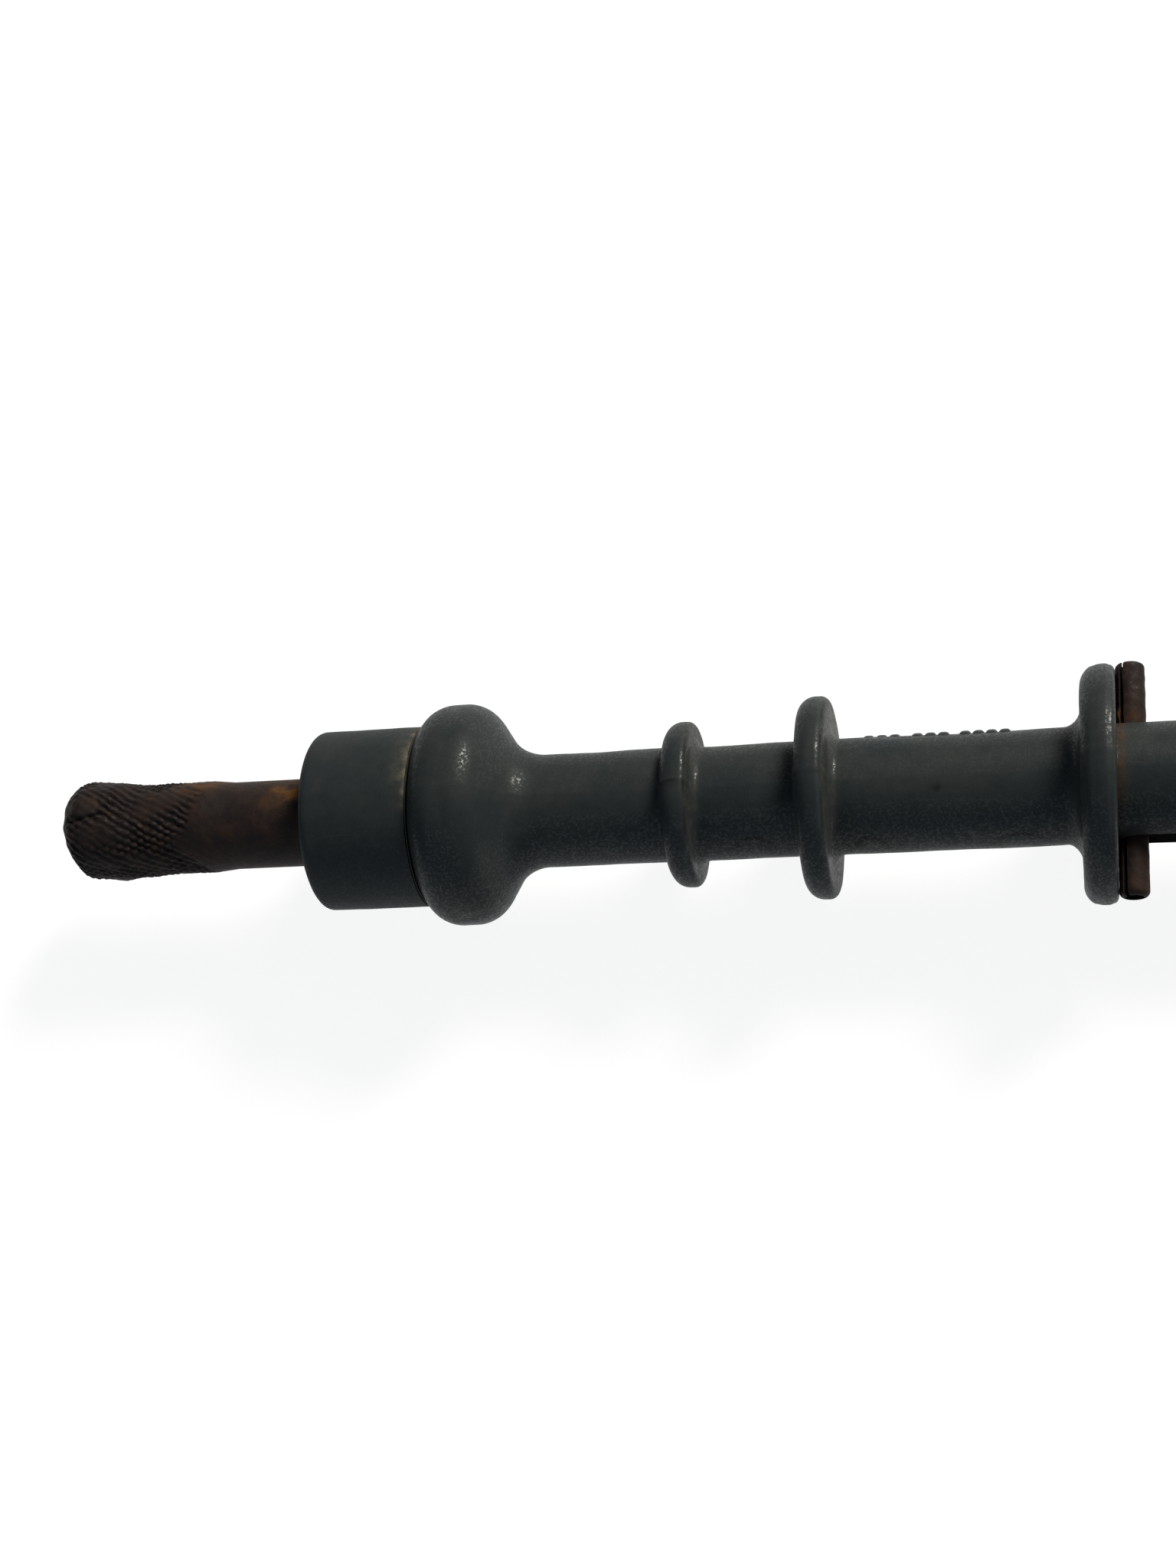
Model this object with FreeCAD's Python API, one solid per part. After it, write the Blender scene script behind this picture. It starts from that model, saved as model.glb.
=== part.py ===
import FreeCAD, Part
import math
import os

from FreeCAD import Vector

# Plunger handle of a large cable shutter release.  Millimetres.
# X runs along the handle, from the thumb plunger at -X to the cable at +X.
# The cross pin lies along Y.  The moulding parts on the XZ plane, +Z is up.
# The origin is on the axis at the mouth of the cable socket.

# ---- Grip moulding: lengths are measured along X --------------------------------
barrel_radius = 5.0
barrel_length = 42.0
tube_radius = 4.87
bore_radius = 2.95

flange_radius = 10.1
flange_thickness = 2.75
flange_finger_round = 1.1
flange_pin_round = 0.6
flange_root_fillet = 1.3

finger_space = 20.99
large_rib_radius = 8.6
large_rib_thickness = 2.5
rib_spacing = 9.3
small_rib_radius = 7.1
small_rib_thickness = 2.35
rib_thumb_round = 1.45
rib_finger_round = 0.75
rib_thumb_root = 0.35
rib_finger_root = 0.9

waist_length = 12.75
flare_run = 3.05
flare_fillet = 3.7
bulge_radius = 9.65
bulge_crest_length = 5.65
bulge_thumb_round = 2.9
bulge_flare_round = 3.1

mark_height = 0.3
mark_width = 0.8
mark_pitch = 1.1
mark_span = 3.4
mark_groups = [(2.74, 3), (6.84, 3), (10.84, 4)]

# ---- Collar that guides the plunger --------------------------------------------
collar_radius = 7.93
collar_length = 9.9
collar_mouth_round = 1.9
collar_lip = 0.9
spigot_wall = 0.57
spigot_length = 5.0
gasket_thickness = 0.3
gasket_radius = 6.7
wiper_width = 1.3
wiper_depth = 1.3
bush_wall = 1.1

# ---- Thumb plunger -------------------------------------------------------------
travel = 8.0
rod_radius = 3.88
head_length = 14.0
head_step = 0.54
head_round = 3.4
head_rim_length = 5.2
grip_step = 0.22
head_gap = 1.9
neck_length = 2.0
shank_radius = 2.3
buffer_thickness = 1.0
buffer_wall = 1.35
chamber_floor = 2.4
chamber_gap = 0.72
nose_reach = 4.7

# ---- Cross pin and its slot ----------------------------------------------------
pin_radius = 1.25
pin_wall = 0.4
pin_gap = 0.45
pin_gap_turn = 37.0
pin_length = 20.8
pin_offset = 0.34
pin_end_round = 0.3
pin_flange_gap = 0.2

# ---- Rear bush, wire clamp and spring ------------------------------------------
rear_bush_length = 7.0
rear_bush_setback = 2.4
clamp_length = 5.0
clamp_spigot_radius = 1.2
clamp_spigot_length = 2.4
wire_hole_radius = 0.8
wire_hole_end = 1.6
clamp_screw_radius = 0.9
clamp_screw_setback = 2.6
socket_flats = 0.9
socket_depth = 0.7
cup_thickness = 1.0
cup_rim_depth = 0.8
cup_rim_wall = 0.3
spring_wire = 0.5
spring_turns = 14
seat_thickness = 1.0

# ---- Cable gland ---------------------------------------------------------------
ferrule_length = 5.0
ferrule_wall = 0.45
ferrule_step = 0.1
gland_wall = 0.75
gland_shank_length = 9.0
lock_washer_radius = 4.8
lock_washer_thickness = 0.8
gland_flats = 9.0
gland_hex_length = 3.5
gland_thread_radius = 3.9
gland_thread_length = 5.2
cable_socket_radius = 2.5
cable_socket_depth = 7.6
wire_guide_radius = 1.0
seal_thickness = 0.8
collet_length = 2.6
collet_bore_gap = 0.45
collet_nose_wall = 0.4
collet_slots = 4
collet_slot_width = 0.5
collet_slot_length = 1.8
nut_wall = 1.5
nut_length = 9.2
nut_lip = 1.2
nut_mouth_gap = 0.15
nut_flutes = 24
nut_flute_radius = 0.32
nut_edge_round = 0.5
hex_edge_chamfer = 0.4

# ---- Clearances ----------------------------------------------------------------
running_gap = 0.05
loose_gap = 0.1
stop_gap = 0.3

# ---- Radii worked out from the sizes above -------------------------------------
head_radius = rod_radius + head_step
grip_radius = rod_radius + grip_step
bush_bore = rod_radius + running_gap
bush_seat = bush_bore + bush_wall
spigot_radius = bush_seat + spigot_wall
chamber_radius = rod_radius + chamber_gap
ferrule_radius = barrel_radius + ferrule_step
ferrule_seat = ferrule_radius - ferrule_wall
gland_shank_radius = ferrule_seat - gland_wall
collet_bore_radius = cable_socket_radius + collet_bore_gap
collet_nose_radius = collet_bore_radius + collet_nose_wall
nut_mouth_radius = collet_bore_radius + nut_mouth_gap
nut_radius = gland_thread_radius + nut_wall

# ---- Stations along X, worked out from the sizes above -------------------------
flange_face_x = -(barrel_length + lock_washer_thickness + gland_hex_length + gland_thread_length)
barrel_end_x = flange_face_x + barrel_length
flange_left_x = flange_face_x - flange_thickness
large_rib_right_x = flange_left_x - finger_space
large_rib_left_x = large_rib_right_x - large_rib_thickness
small_rib_right_x = large_rib_left_x - rib_spacing
small_rib_left_x = small_rib_right_x - small_rib_thickness
flare_foot_x = small_rib_left_x - waist_length
crest_end_x = flare_foot_x - flare_run
bulge_face_x = crest_end_x - bulge_crest_length
collar_seat_x = bulge_face_x - gasket_thickness
collar_mouth_x = collar_seat_x - collar_length
spigot_end_x = bulge_face_x + spigot_length
chamber_end_x = spigot_end_x + chamber_floor

pin_x = flange_face_x + pin_flange_gap + pin_radius
slot_half_width = pin_radius + loose_gap
slot_end_x = pin_x + travel + pin_radius + stop_gap

shoulder_x = chamber_end_x - stop_gap - travel - buffer_thickness
knurl_end_x = collar_mouth_x - travel - head_gap
thumb_end_x = knurl_end_x - head_length
shank_end_x = pin_x + nose_reach
clamp_end_x = shank_end_x + clamp_length
cup_end_x = clamp_end_x + cup_thickness
gland_inner_x = barrel_end_x - gland_shank_length
seat_x = gland_inner_x - seat_thickness
hex_start_x = barrel_end_x + lock_washer_thickness
hex_end_x = hex_start_x + gland_hex_length
gland_end_x = hex_end_x + gland_thread_length
socket_floor_x = gland_end_x - cable_socket_depth
collet_x = gland_end_x + seal_thickness
throat_x = collet_x + collet_length
nut_end_x = throat_x + nut_lip
nut_start_x = nut_end_x - nut_length

ALONG_X = Vector(1, 0, 0)
ALONG_Y = Vector(0, 1, 0)
ALONG_Z = Vector(0, 0, 1)
OVERCUT = 1.0


# ---- Shape helpers -------------------------------------------------------------
def disc(start, end, radius):
    """A round bar along X."""
    return Part.makeCylinder(radius, end - start, Vector(start, 0, 0), ALONG_X)


def bored(start, end, outer, inner):
    """A round bar along X with a hole right through it."""
    return disc(start, end, outer).cut(disc(start - OVERCUT, end + OVERCUT, inner))


def turned(points):
    """A solid turned about X from the corners (x, radius) of its half section."""
    corners = [Vector(x, 0, radius) for x, radius in points]
    outline = Part.makePolygon(corners + [corners[0]])
    return Part.Face(outline).revolve(Vector(0, 0, 0), ALONG_X, 360)


def rings(shape, x, radius):
    """The round edges about the X axis at one station and radius."""
    found = []
    for edge in shape.Edges:
        curve = edge.Curve
        if not isinstance(curve, Part.Circle):
            continue
        centre = curve.Center
        on_axis = abs(centre.y) < 1e-6 and abs(centre.z) < 1e-6
        if on_axis and abs(centre.x - x) < 1e-4 and abs(curve.Radius - radius) < 1e-4:
            found.append(edge)
    return found


def rounded(shape, size, *places):
    """Rounds the edges at each (x, radius) with one fillet size."""
    edges = []
    for x, radius in places:
        edges += rings(shape, x, radius)
    return shape.makeFillet(size, edges)


def chamfered(shape, size, *places):
    """Chamfers the edges at each (x, radius)."""
    edges = []
    for x, radius in places:
        edges += rings(shape, x, radius)
    return shape.makeChamfer(size, edges)


def hexagon(start, end, flats):
    """A hexagonal bar along X, by its size across the flats."""
    corner = flats / math.sqrt(3)
    turns = [math.radians(60 * step) for step in range(7)]
    outline = [Vector(start, corner * math.cos(a), corner * math.sin(a)) for a in turns]
    return Part.Face(Part.makePolygon(outline)).extrude(Vector(end - start, 0, 0))


def block(x0, x1, y0, y1, z0, z1):
    """A box between two corners."""
    return Part.makeBox(x1 - x0, y1 - y0, z1 - z0, Vector(x0, y0, z0))


# ---- Grip ----------------------------------------------------------------------
def grip_outline():
    """The moulding before it is bored: bulge, waist, two ribs, flange and barrel."""
    ferrule_x = barrel_end_x - ferrule_length
    shape = turned([
        (bulge_face_x, 0),
        (bulge_face_x, bulge_radius),
        (crest_end_x, bulge_radius),
        (flare_foot_x, tube_radius),
        (small_rib_left_x, tube_radius),
        (small_rib_left_x, small_rib_radius),
        (small_rib_right_x, small_rib_radius),
        (small_rib_right_x, tube_radius),
        (large_rib_left_x, tube_radius),
        (large_rib_left_x, large_rib_radius),
        (large_rib_right_x, large_rib_radius),
        (large_rib_right_x, tube_radius),
        (flange_left_x, tube_radius),
        (flange_left_x, flange_radius),
        (flange_face_x, flange_radius),
        (flange_face_x, barrel_radius),
        (ferrule_x, barrel_radius),
        (ferrule_x, ferrule_seat),
        (barrel_end_x, ferrule_seat),
        (barrel_end_x, 0),
    ])
    shape = rounded(shape, bulge_thumb_round, (bulge_face_x, bulge_radius))
    shape = rounded(shape, bulge_flare_round, (crest_end_x, bulge_radius))
    shape = rounded(shape, flare_fillet, (flare_foot_x, tube_radius))
    ribs = [
        (small_rib_left_x, small_rib_right_x, small_rib_radius),
        (large_rib_left_x, large_rib_right_x, large_rib_radius),
    ]
    for left, right, radius in ribs:
        shape = rounded(shape, rib_thumb_round, (left, radius))
        shape = rounded(shape, rib_finger_round, (right, radius))
        shape = rounded(shape, rib_thumb_root, (left, tube_radius))
        shape = rounded(shape, rib_finger_root, (right, tube_radius))
    shape = rounded(shape, flange_finger_round, (flange_left_x, flange_radius))
    shape = rounded(shape, flange_pin_round, (flange_face_x, flange_radius))
    return rounded(shape, flange_root_fillet, (flange_left_x, tube_radius))


def grip_hollow():
    """Everything that is bored into the moulding from its two ends."""
    hollow = disc(bulge_face_x - OVERCUT, spigot_end_x, spigot_radius)
    hollow = hollow.fuse(disc(spigot_end_x - OVERCUT, chamber_end_x, chamber_radius))
    hollow = hollow.fuse(disc(chamber_end_x - OVERCUT, gland_inner_x + OVERCUT, bore_radius))
    return hollow.fuse(disc(gland_inner_x, barrel_end_x + OVERCUT, gland_shank_radius))


def pin_slot():
    """The slot through both barrel walls, with round ends, along the pin's travel."""
    start = pin_x
    end = slot_end_x - slot_half_width
    reach = barrel_radius + OVERCUT
    slot = block(start, end, -reach, reach, -slot_half_width, slot_half_width)
    for x in (start, end):
        base = Vector(x, -reach, 0)
        slot = slot.fuse(Part.makeCylinder(slot_half_width, 2 * reach, base, ALONG_Y))
    return slot


def raised_marks():
    """Plain raised bars in three groups on the +Y side, between large rib and flange."""
    top = tube_radius + mark_height
    marks = []
    for setback, count in mark_groups:
        for step in range(count):
            x = large_rib_right_x + setback + mark_pitch * step
            skin = bored(x, x + mark_width, top, tube_radius - mark_height)
            reach = block(x - OVERCUT, x + mark_width + OVERCUT, 0, 2 * top, -mark_span / 2, mark_span / 2)
            marks.append(skin.common(reach))
    return marks


def grip_body():
    """The moulded grip: one solid from the bulge to the end of the barrel."""
    shape = grip_outline()
    for mark in raised_marks():
        shape = shape.fuse(mark)
    return shape.cut(grip_hollow()).cut(pin_slot()).removeSplitter()


# ---- Collar --------------------------------------------------------------------
def guide_collar():
    """The collar: screwed into the bulge by its spigot, with a lip at the mouth."""
    shape = disc(collar_mouth_x, collar_seat_x, collar_radius)
    shape = rounded(shape, collar_mouth_round, (collar_mouth_x, collar_radius))
    shape = shape.fuse(disc(collar_seat_x - OVERCUT, spigot_end_x, spigot_radius))
    wiper_seat = bush_bore + wiper_depth
    wiper_x = collar_mouth_x + collar_lip
    shape = shape.cut(disc(collar_mouth_x - OVERCUT, wiper_x + OVERCUT, rod_radius + stop_gap))
    shape = shape.cut(disc(wiper_x, wiper_x + wiper_width, wiper_seat))
    return shape.cut(disc(wiper_x, spigot_end_x + OVERCUT, bush_seat)).removeSplitter()


def wiper_ring():
    """Felt ring that keeps dirt off the rod."""
    start = collar_mouth_x + collar_lip
    return bored(start, start + wiper_width, bush_bore + wiper_depth, bush_bore)


def plunger_bush():
    """Brass bush in the collar that the rod slides in."""
    start = collar_mouth_x + collar_lip + wiper_width
    return bored(start, spigot_end_x, bush_seat, bush_bore)


def collar_gasket():
    """Fibre ring between the collar and the bulge."""
    return bored(collar_seat_x, bulge_face_x, gasket_radius, spigot_radius)


def rear_bush():
    """Nylon bush in the bore under the flange that keeps the shank in line."""
    end = flange_face_x - rear_bush_setback
    return bored(end - rear_bush_length, end, bore_radius, shank_radius + running_gap)


# ---- Plunger -------------------------------------------------------------------
def plunger_rod():
    """Thumb head, rod and shank, turned from one bar and drilled for the pin."""
    rim_end = thumb_end_x + head_rim_length
    shape = turned([
        (thumb_end_x, 0),
        (thumb_end_x, head_radius),
        (rim_end, head_radius),
        (rim_end + neck_length, grip_radius),
        (knurl_end_x, grip_radius),
        (knurl_end_x + neck_length, rod_radius),
        (shoulder_x, rod_radius),
        (shoulder_x, shank_radius),
        (shank_end_x, shank_radius),
        (shank_end_x, 0),
    ])
    shape = rounded(shape, head_round, (thumb_end_x, head_radius))
    shape = shape.cut(disc(shank_end_x - clamp_spigot_length, shank_end_x + OVERCUT, clamp_spigot_radius))
    reach = shank_radius + OVERCUT
    return shape.cut(Part.makeCylinder(pin_radius, 2 * reach, Vector(pin_x, -reach, 0), ALONG_Y))


def cross_pin():
    """Rolled spring pin: a round tube with one gap along it and rounded ends."""
    half = pin_length / 2
    shape = rounded(disc(-half, half, pin_radius), pin_end_round, (-half, pin_radius), (half, pin_radius))
    shape = shape.cut(disc(-half - OVERCUT, half + OVERCUT, pin_radius - pin_wall))
    gap = block(-half - OVERCUT, half + OVERCUT, -pin_gap / 2, pin_gap / 2, 0, pin_radius + OVERCUT)
    gap.rotate(Vector(0, 0, 0), ALONG_X, pin_gap_turn)
    shape = shape.cut(gap)
    shape.rotate(Vector(0, 0, 0), ALONG_Z, 90)
    shape.translate(Vector(pin_x, pin_offset, 0))
    return shape


def buffer_washer():
    """Rubber ring that softens the end of the stroke."""
    return bored(shoulder_x, shoulder_x + buffer_thickness, shank_radius + buffer_wall, shank_radius)


def wire_clamp():
    """Brass nose in the end of the shank, bored for the wire and tapped for its screw."""
    shape = disc(shank_end_x, clamp_end_x, shank_radius)
    shape = shape.fuse(disc(shank_end_x - clamp_spigot_length, shank_end_x + OVERCUT, clamp_spigot_radius))
    shape = shape.cut(disc(shank_end_x - wire_hole_end, clamp_end_x + OVERCUT, wire_hole_radius))
    screw_hole = Part.makeCylinder(clamp_screw_radius, 2 * shank_radius, clamp_screw_base(), ALONG_Y)
    return shape.cut(screw_hole).removeSplitter()


def clamp_screw_base():
    """Where the clamp screw's axis starts, on the handle's own axis."""
    return Vector(clamp_end_x - clamp_screw_setback, 0, 0)


def clamp_screw():
    """Grub screw that holds the wire, reached through the slot."""
    base = clamp_screw_base()
    length = shank_radius - wire_hole_radius - running_gap
    base.y = wire_hole_radius
    shape = Part.makeCylinder(clamp_screw_radius, length, base, ALONG_Y)
    socket = hexagon(0, socket_depth + OVERCUT, socket_flats)
    socket.rotate(Vector(0, 0, 0), ALONG_Z, 90)
    socket.translate(Vector(base.x, base.y + length - socket_depth, 0))
    return shape.cut(socket)


def spring_cup():
    """Cupped washer on the plunger's nose that the spring pushes against."""
    outer = bore_radius - loose_gap
    shape = bored(clamp_end_x, cup_end_x + cup_rim_depth, outer, wire_guide_radius)
    return shape.cut(disc(cup_end_x, cup_end_x + cup_rim_depth + OVERCUT, outer - cup_rim_wall))


def return_spring():
    """Compression spring between the cup and the seat, as it stands at rest."""
    start = cup_end_x + spring_wire / 2 + running_gap
    height = seat_x - spring_wire / 2 - running_gap - start
    coil_radius = bore_radius - loose_gap - cup_rim_wall - running_gap - spring_wire / 2
    helix = Part.makeHelix(height / spring_turns, height, coil_radius)
    section = Part.Wire([Part.makeCircle(spring_wire / 2, Vector(coil_radius, 0, 0), ALONG_Y)])
    shape = Part.Wire(helix.Edges).makePipeShell([section], True, True)
    shape.rotate(Vector(0, 0, 0), ALONG_Y, 90)
    shape.translate(Vector(start, 0, 0))
    return shape


# ---- Cable end -----------------------------------------------------------------
def spring_seat():
    """Washer that closes the spring's end of the bore."""
    return bored(seat_x, gland_inner_x, bore_radius - running_gap, wire_guide_radius)


def end_ferrule():
    """Steel ring that keeps the barrel's end from splitting."""
    return bored(barrel_end_x - ferrule_length, barrel_end_x, ferrule_radius, ferrule_seat)


def lock_washer():
    """Washer under the gland's hexagon."""
    return bored(barrel_end_x, hex_start_x, lock_washer_radius, gland_shank_radius)


def gland_body():
    """Brass gland screwed into the barrel: hexagon, nut thread, cable socket."""
    head = hexagon(hex_start_x, hex_end_x, gland_flats)
    corner = gland_flats / math.sqrt(3)
    trim = chamfered(
        disc(hex_start_x, hex_end_x, corner),
        hex_edge_chamfer,
        (hex_start_x, corner),
        (hex_end_x, corner),
    )
    shape = head.common(trim)
    shape = shape.fuse(disc(gland_inner_x, hex_start_x + OVERCUT, gland_shank_radius))
    shape = shape.fuse(disc(hex_end_x - OVERCUT, gland_end_x, gland_thread_radius))
    shape = shape.cut(disc(socket_floor_x, gland_end_x + OVERCUT, cable_socket_radius))
    shape = shape.cut(disc(gland_inner_x - OVERCUT, socket_floor_x + OVERCUT, wire_guide_radius))
    return shape.removeSplitter()


def sheath_seal():
    """Rubber ring between the gland and the collet."""
    return bored(gland_end_x, collet_x, gland_thread_radius - running_gap, collet_bore_radius)


def sheath_collet():
    """Split cone that the nut squeezes onto the cable's sheath."""
    shape = turned([
        (collet_x, collet_bore_radius),
        (collet_x, gland_thread_radius - running_gap),
        (throat_x, collet_nose_radius),
        (throat_x, collet_bore_radius),
    ])
    for step in range(collet_slots // 2):
        half = collet_slot_width / 2
        cut = block(throat_x - collet_slot_length, throat_x + OVERCUT, -nut_radius, nut_radius, -half, half)
        cut.rotate(Vector(0, 0, 0), ALONG_X, step * 360 / collet_slots)
        shape = shape.cut(cut)
    return shape


def gland_nut():
    """Fluted nut over the collet, with a coned throat and an open mouth."""
    shape = rounded(
        disc(nut_start_x, nut_end_x, nut_radius),
        nut_edge_round,
        (nut_start_x, nut_radius),
        (nut_end_x, nut_radius),
    )
    shape = shape.cut(disc(nut_start_x - OVERCUT, collet_x, gland_thread_radius))
    shape = shape.cut(turned([
        (collet_x - OVERCUT, 0),
        (collet_x - OVERCUT, gland_thread_radius),
        (collet_x, gland_thread_radius),
        (throat_x, collet_nose_radius + running_gap),
        (throat_x, 0),
    ]))
    shape = shape.cut(disc(throat_x - OVERCUT, nut_end_x + OVERCUT, nut_mouth_radius))
    for step in range(nut_flutes):
        angle = math.radians(step * 360 / nut_flutes)
        base = Vector(nut_start_x - OVERCUT, nut_radius * math.cos(angle), nut_radius * math.sin(angle))
        flute = Part.makeCylinder(nut_flute_radius, nut_length + 2 * OVERCUT, base, ALONG_X)
        shape = shape.cut(flute)
    return shape


NODES = {
    "grip_body": grip_body,
    "guide_collar": guide_collar,
    "wiper_ring": wiper_ring,
    "plunger_bush": plunger_bush,
    "collar_gasket": collar_gasket,
    "rear_bush": rear_bush,
    "plunger_rod": plunger_rod,
    "cross_pin": cross_pin,
    "buffer_washer": buffer_washer,
    "wire_clamp": wire_clamp,
    "clamp_screw": clamp_screw,
    "spring_cup": spring_cup,
    "return_spring": return_spring,
    "spring_seat": spring_seat,
    "end_ferrule": end_ferrule,
    "lock_washer": lock_washer,
    "gland_body": gland_body,
    "sheath_seal": sheath_seal,
    "sheath_collet": sheath_collet,
    "gland_nut": gland_nut,
}


def main():
    """Builds every piece and writes one STEP file for each."""
    os.makedirs("parts", exist_ok=True)
    for name, build in NODES.items():
        shape = build()
        if not shape.isValid() or not shape.Solids:
            raise RuntimeError(name + " is not a valid solid")
        shape.exportStep("parts/" + name + ".step")
        print(name, len(shape.Solids), "solid(s)", round(shape.Volume, 2), "mm3")
    print("flange face at x =", round(flange_face_x, 3), "thumb end at x =", round(thumb_end_x, 3))


main()
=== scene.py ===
"""Looks of the plunger handle of a cable shutter release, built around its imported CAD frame."""
import logging
import math
from collections.abc import Callable, Sequence
from dataclasses import dataclass, field
from enum import Enum

import bpy
import numpy as np
from mathutils import Matrix, Vector


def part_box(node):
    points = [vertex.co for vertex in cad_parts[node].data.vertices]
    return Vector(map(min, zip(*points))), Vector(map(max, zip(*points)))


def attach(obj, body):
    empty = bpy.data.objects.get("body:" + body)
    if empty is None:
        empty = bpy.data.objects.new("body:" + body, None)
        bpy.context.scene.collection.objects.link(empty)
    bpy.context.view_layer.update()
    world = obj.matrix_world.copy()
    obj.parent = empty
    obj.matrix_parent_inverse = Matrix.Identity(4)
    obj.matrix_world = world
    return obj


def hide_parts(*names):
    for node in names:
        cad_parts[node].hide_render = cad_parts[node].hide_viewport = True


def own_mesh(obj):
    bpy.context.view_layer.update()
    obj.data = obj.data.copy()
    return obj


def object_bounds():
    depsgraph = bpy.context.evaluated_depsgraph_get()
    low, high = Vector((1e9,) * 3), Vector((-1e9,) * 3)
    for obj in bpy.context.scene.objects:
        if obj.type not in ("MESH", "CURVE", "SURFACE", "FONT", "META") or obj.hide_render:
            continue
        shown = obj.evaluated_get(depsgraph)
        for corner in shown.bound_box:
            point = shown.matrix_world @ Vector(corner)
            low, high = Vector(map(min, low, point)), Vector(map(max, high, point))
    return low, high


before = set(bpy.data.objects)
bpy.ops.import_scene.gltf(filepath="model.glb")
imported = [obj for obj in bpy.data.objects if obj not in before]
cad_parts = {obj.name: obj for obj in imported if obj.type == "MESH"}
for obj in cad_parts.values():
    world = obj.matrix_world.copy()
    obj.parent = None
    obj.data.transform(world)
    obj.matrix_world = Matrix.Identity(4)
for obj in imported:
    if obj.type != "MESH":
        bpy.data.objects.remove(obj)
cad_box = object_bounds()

log = logging.getLogger("handle")

MM = 0.001
PER_METRE = 1000.0
FULL_TURN = 2 * math.pi
TINY = 1e-6
UPPER_SIDE = math.radians(73.0)
SEAMS = (0.0, math.pi)
COAT_ROUGHNESS = 0.24
SMOOTH_BELOW = math.radians(32)

Colour = tuple[float, float, float]
Link = "Wire | float | int | bool | tuple | bpy.types.Material | bpy.types.Object"


class Body(Enum):
    """The CAD body that a piece moves with."""

    GRIP = "grip"
    PLUNGER = "plunger"


class Operation(Enum):
    """What a Math node does."""

    ADD = "ADD"
    SUBTRACT = "SUBTRACT"
    MULTIPLY = "MULTIPLY"
    DIVIDE = "DIVIDE"
    POWER = "POWER"
    MAXIMUM = "MAXIMUM"
    MINIMUM = "MINIMUM"
    ABSOLUTE = "ABSOLUTE"
    SINE = "SINE"
    COSINE = "COSINE"


# ---- Nodes, written as expressions ---------------------------------------------
class Wire:
    """An output socket that Python's own operators work on."""

    def __init__(self, graph: "Graph", socket: bpy.types.NodeSocket) -> None:
        """Keeps the socket and the graph that it belongs to."""
        self.graph = graph
        self.socket = socket

    def __add__(self, other: "Wire | float") -> "Wire":
        """Sum."""
        return self.graph.maths(Operation.ADD, self, other)

    def __radd__(self, other: float) -> "Wire":
        """Sum, with the number first."""
        return self.graph.maths(Operation.ADD, other, self)

    def __sub__(self, other: "Wire | float") -> "Wire":
        """Difference."""
        return self.graph.maths(Operation.SUBTRACT, self, other)

    def __rsub__(self, other: float) -> "Wire":
        """Difference, with the number first."""
        return self.graph.maths(Operation.SUBTRACT, other, self)

    def __mul__(self, other: "Wire | float") -> "Wire":
        """Product."""
        return self.graph.maths(Operation.MULTIPLY, self, other)

    def __rmul__(self, other: float) -> "Wire":
        """Product, with the number first."""
        return self.graph.maths(Operation.MULTIPLY, other, self)

    def __truediv__(self, other: "Wire | float") -> "Wire":
        """Quotient."""
        return self.graph.maths(Operation.DIVIDE, self, other)

    def __pow__(self, other: "Wire | float") -> "Wire":
        """Power."""
        return self.graph.maths(Operation.POWER, self, other)


class Graph:
    """A node tree that is filled by expressions and by one method for every other node."""

    def __init__(self, tree: bpy.types.NodeTree) -> None:
        """Keeps the tree that the nodes go into."""
        self.tree = tree

    def node(
        self,
        kind: str,
        settings: dict[str, object] | None = None,
        values: "dict[str | int, Link] | None" = None,
        output: str | int = 0,
    ) -> Wire:
        """Adds one node.

        Args:
            kind: The node's type.
            settings: Its properties, which are set first.
            values: Numbers or wires for its input sockets, by name or number.
            output: The output that is wanted, by name or number.

        Returns:
            The wire from that output.
        """
        node = self.tree.nodes.new(kind)
        for name, value in (settings or {}).items():
            setattr(node, name, value)
        for name, value in (values or {}).items():
            if isinstance(value, Wire):
                self.tree.links.new(value.socket, node.inputs[name])
            else:
                node.inputs[name].default_value = value
        return Wire(self, node.outputs[output]) if len(node.outputs) else Wire(self, node.inputs[0])

    def maths(self, operation: Operation, first: "Wire | float", second: "Wire | float" = 0.0) -> Wire:
        """Adds a Math node.

        Args:
            operation: What the node does.
            first: Its first value.
            second: Its second value, which some operations leave unused.

        Returns:
            The result.
        """
        return self.node("ShaderNodeMath", {"operation": operation.value}, {0: first, 1: second})

    def clamped(self, value: Wire) -> Wire:
        """The value, held between 0 and 1."""
        return self.maths(Operation.MAXIMUM, self.maths(Operation.MINIMUM, value, 1.0), 0.0)


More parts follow.
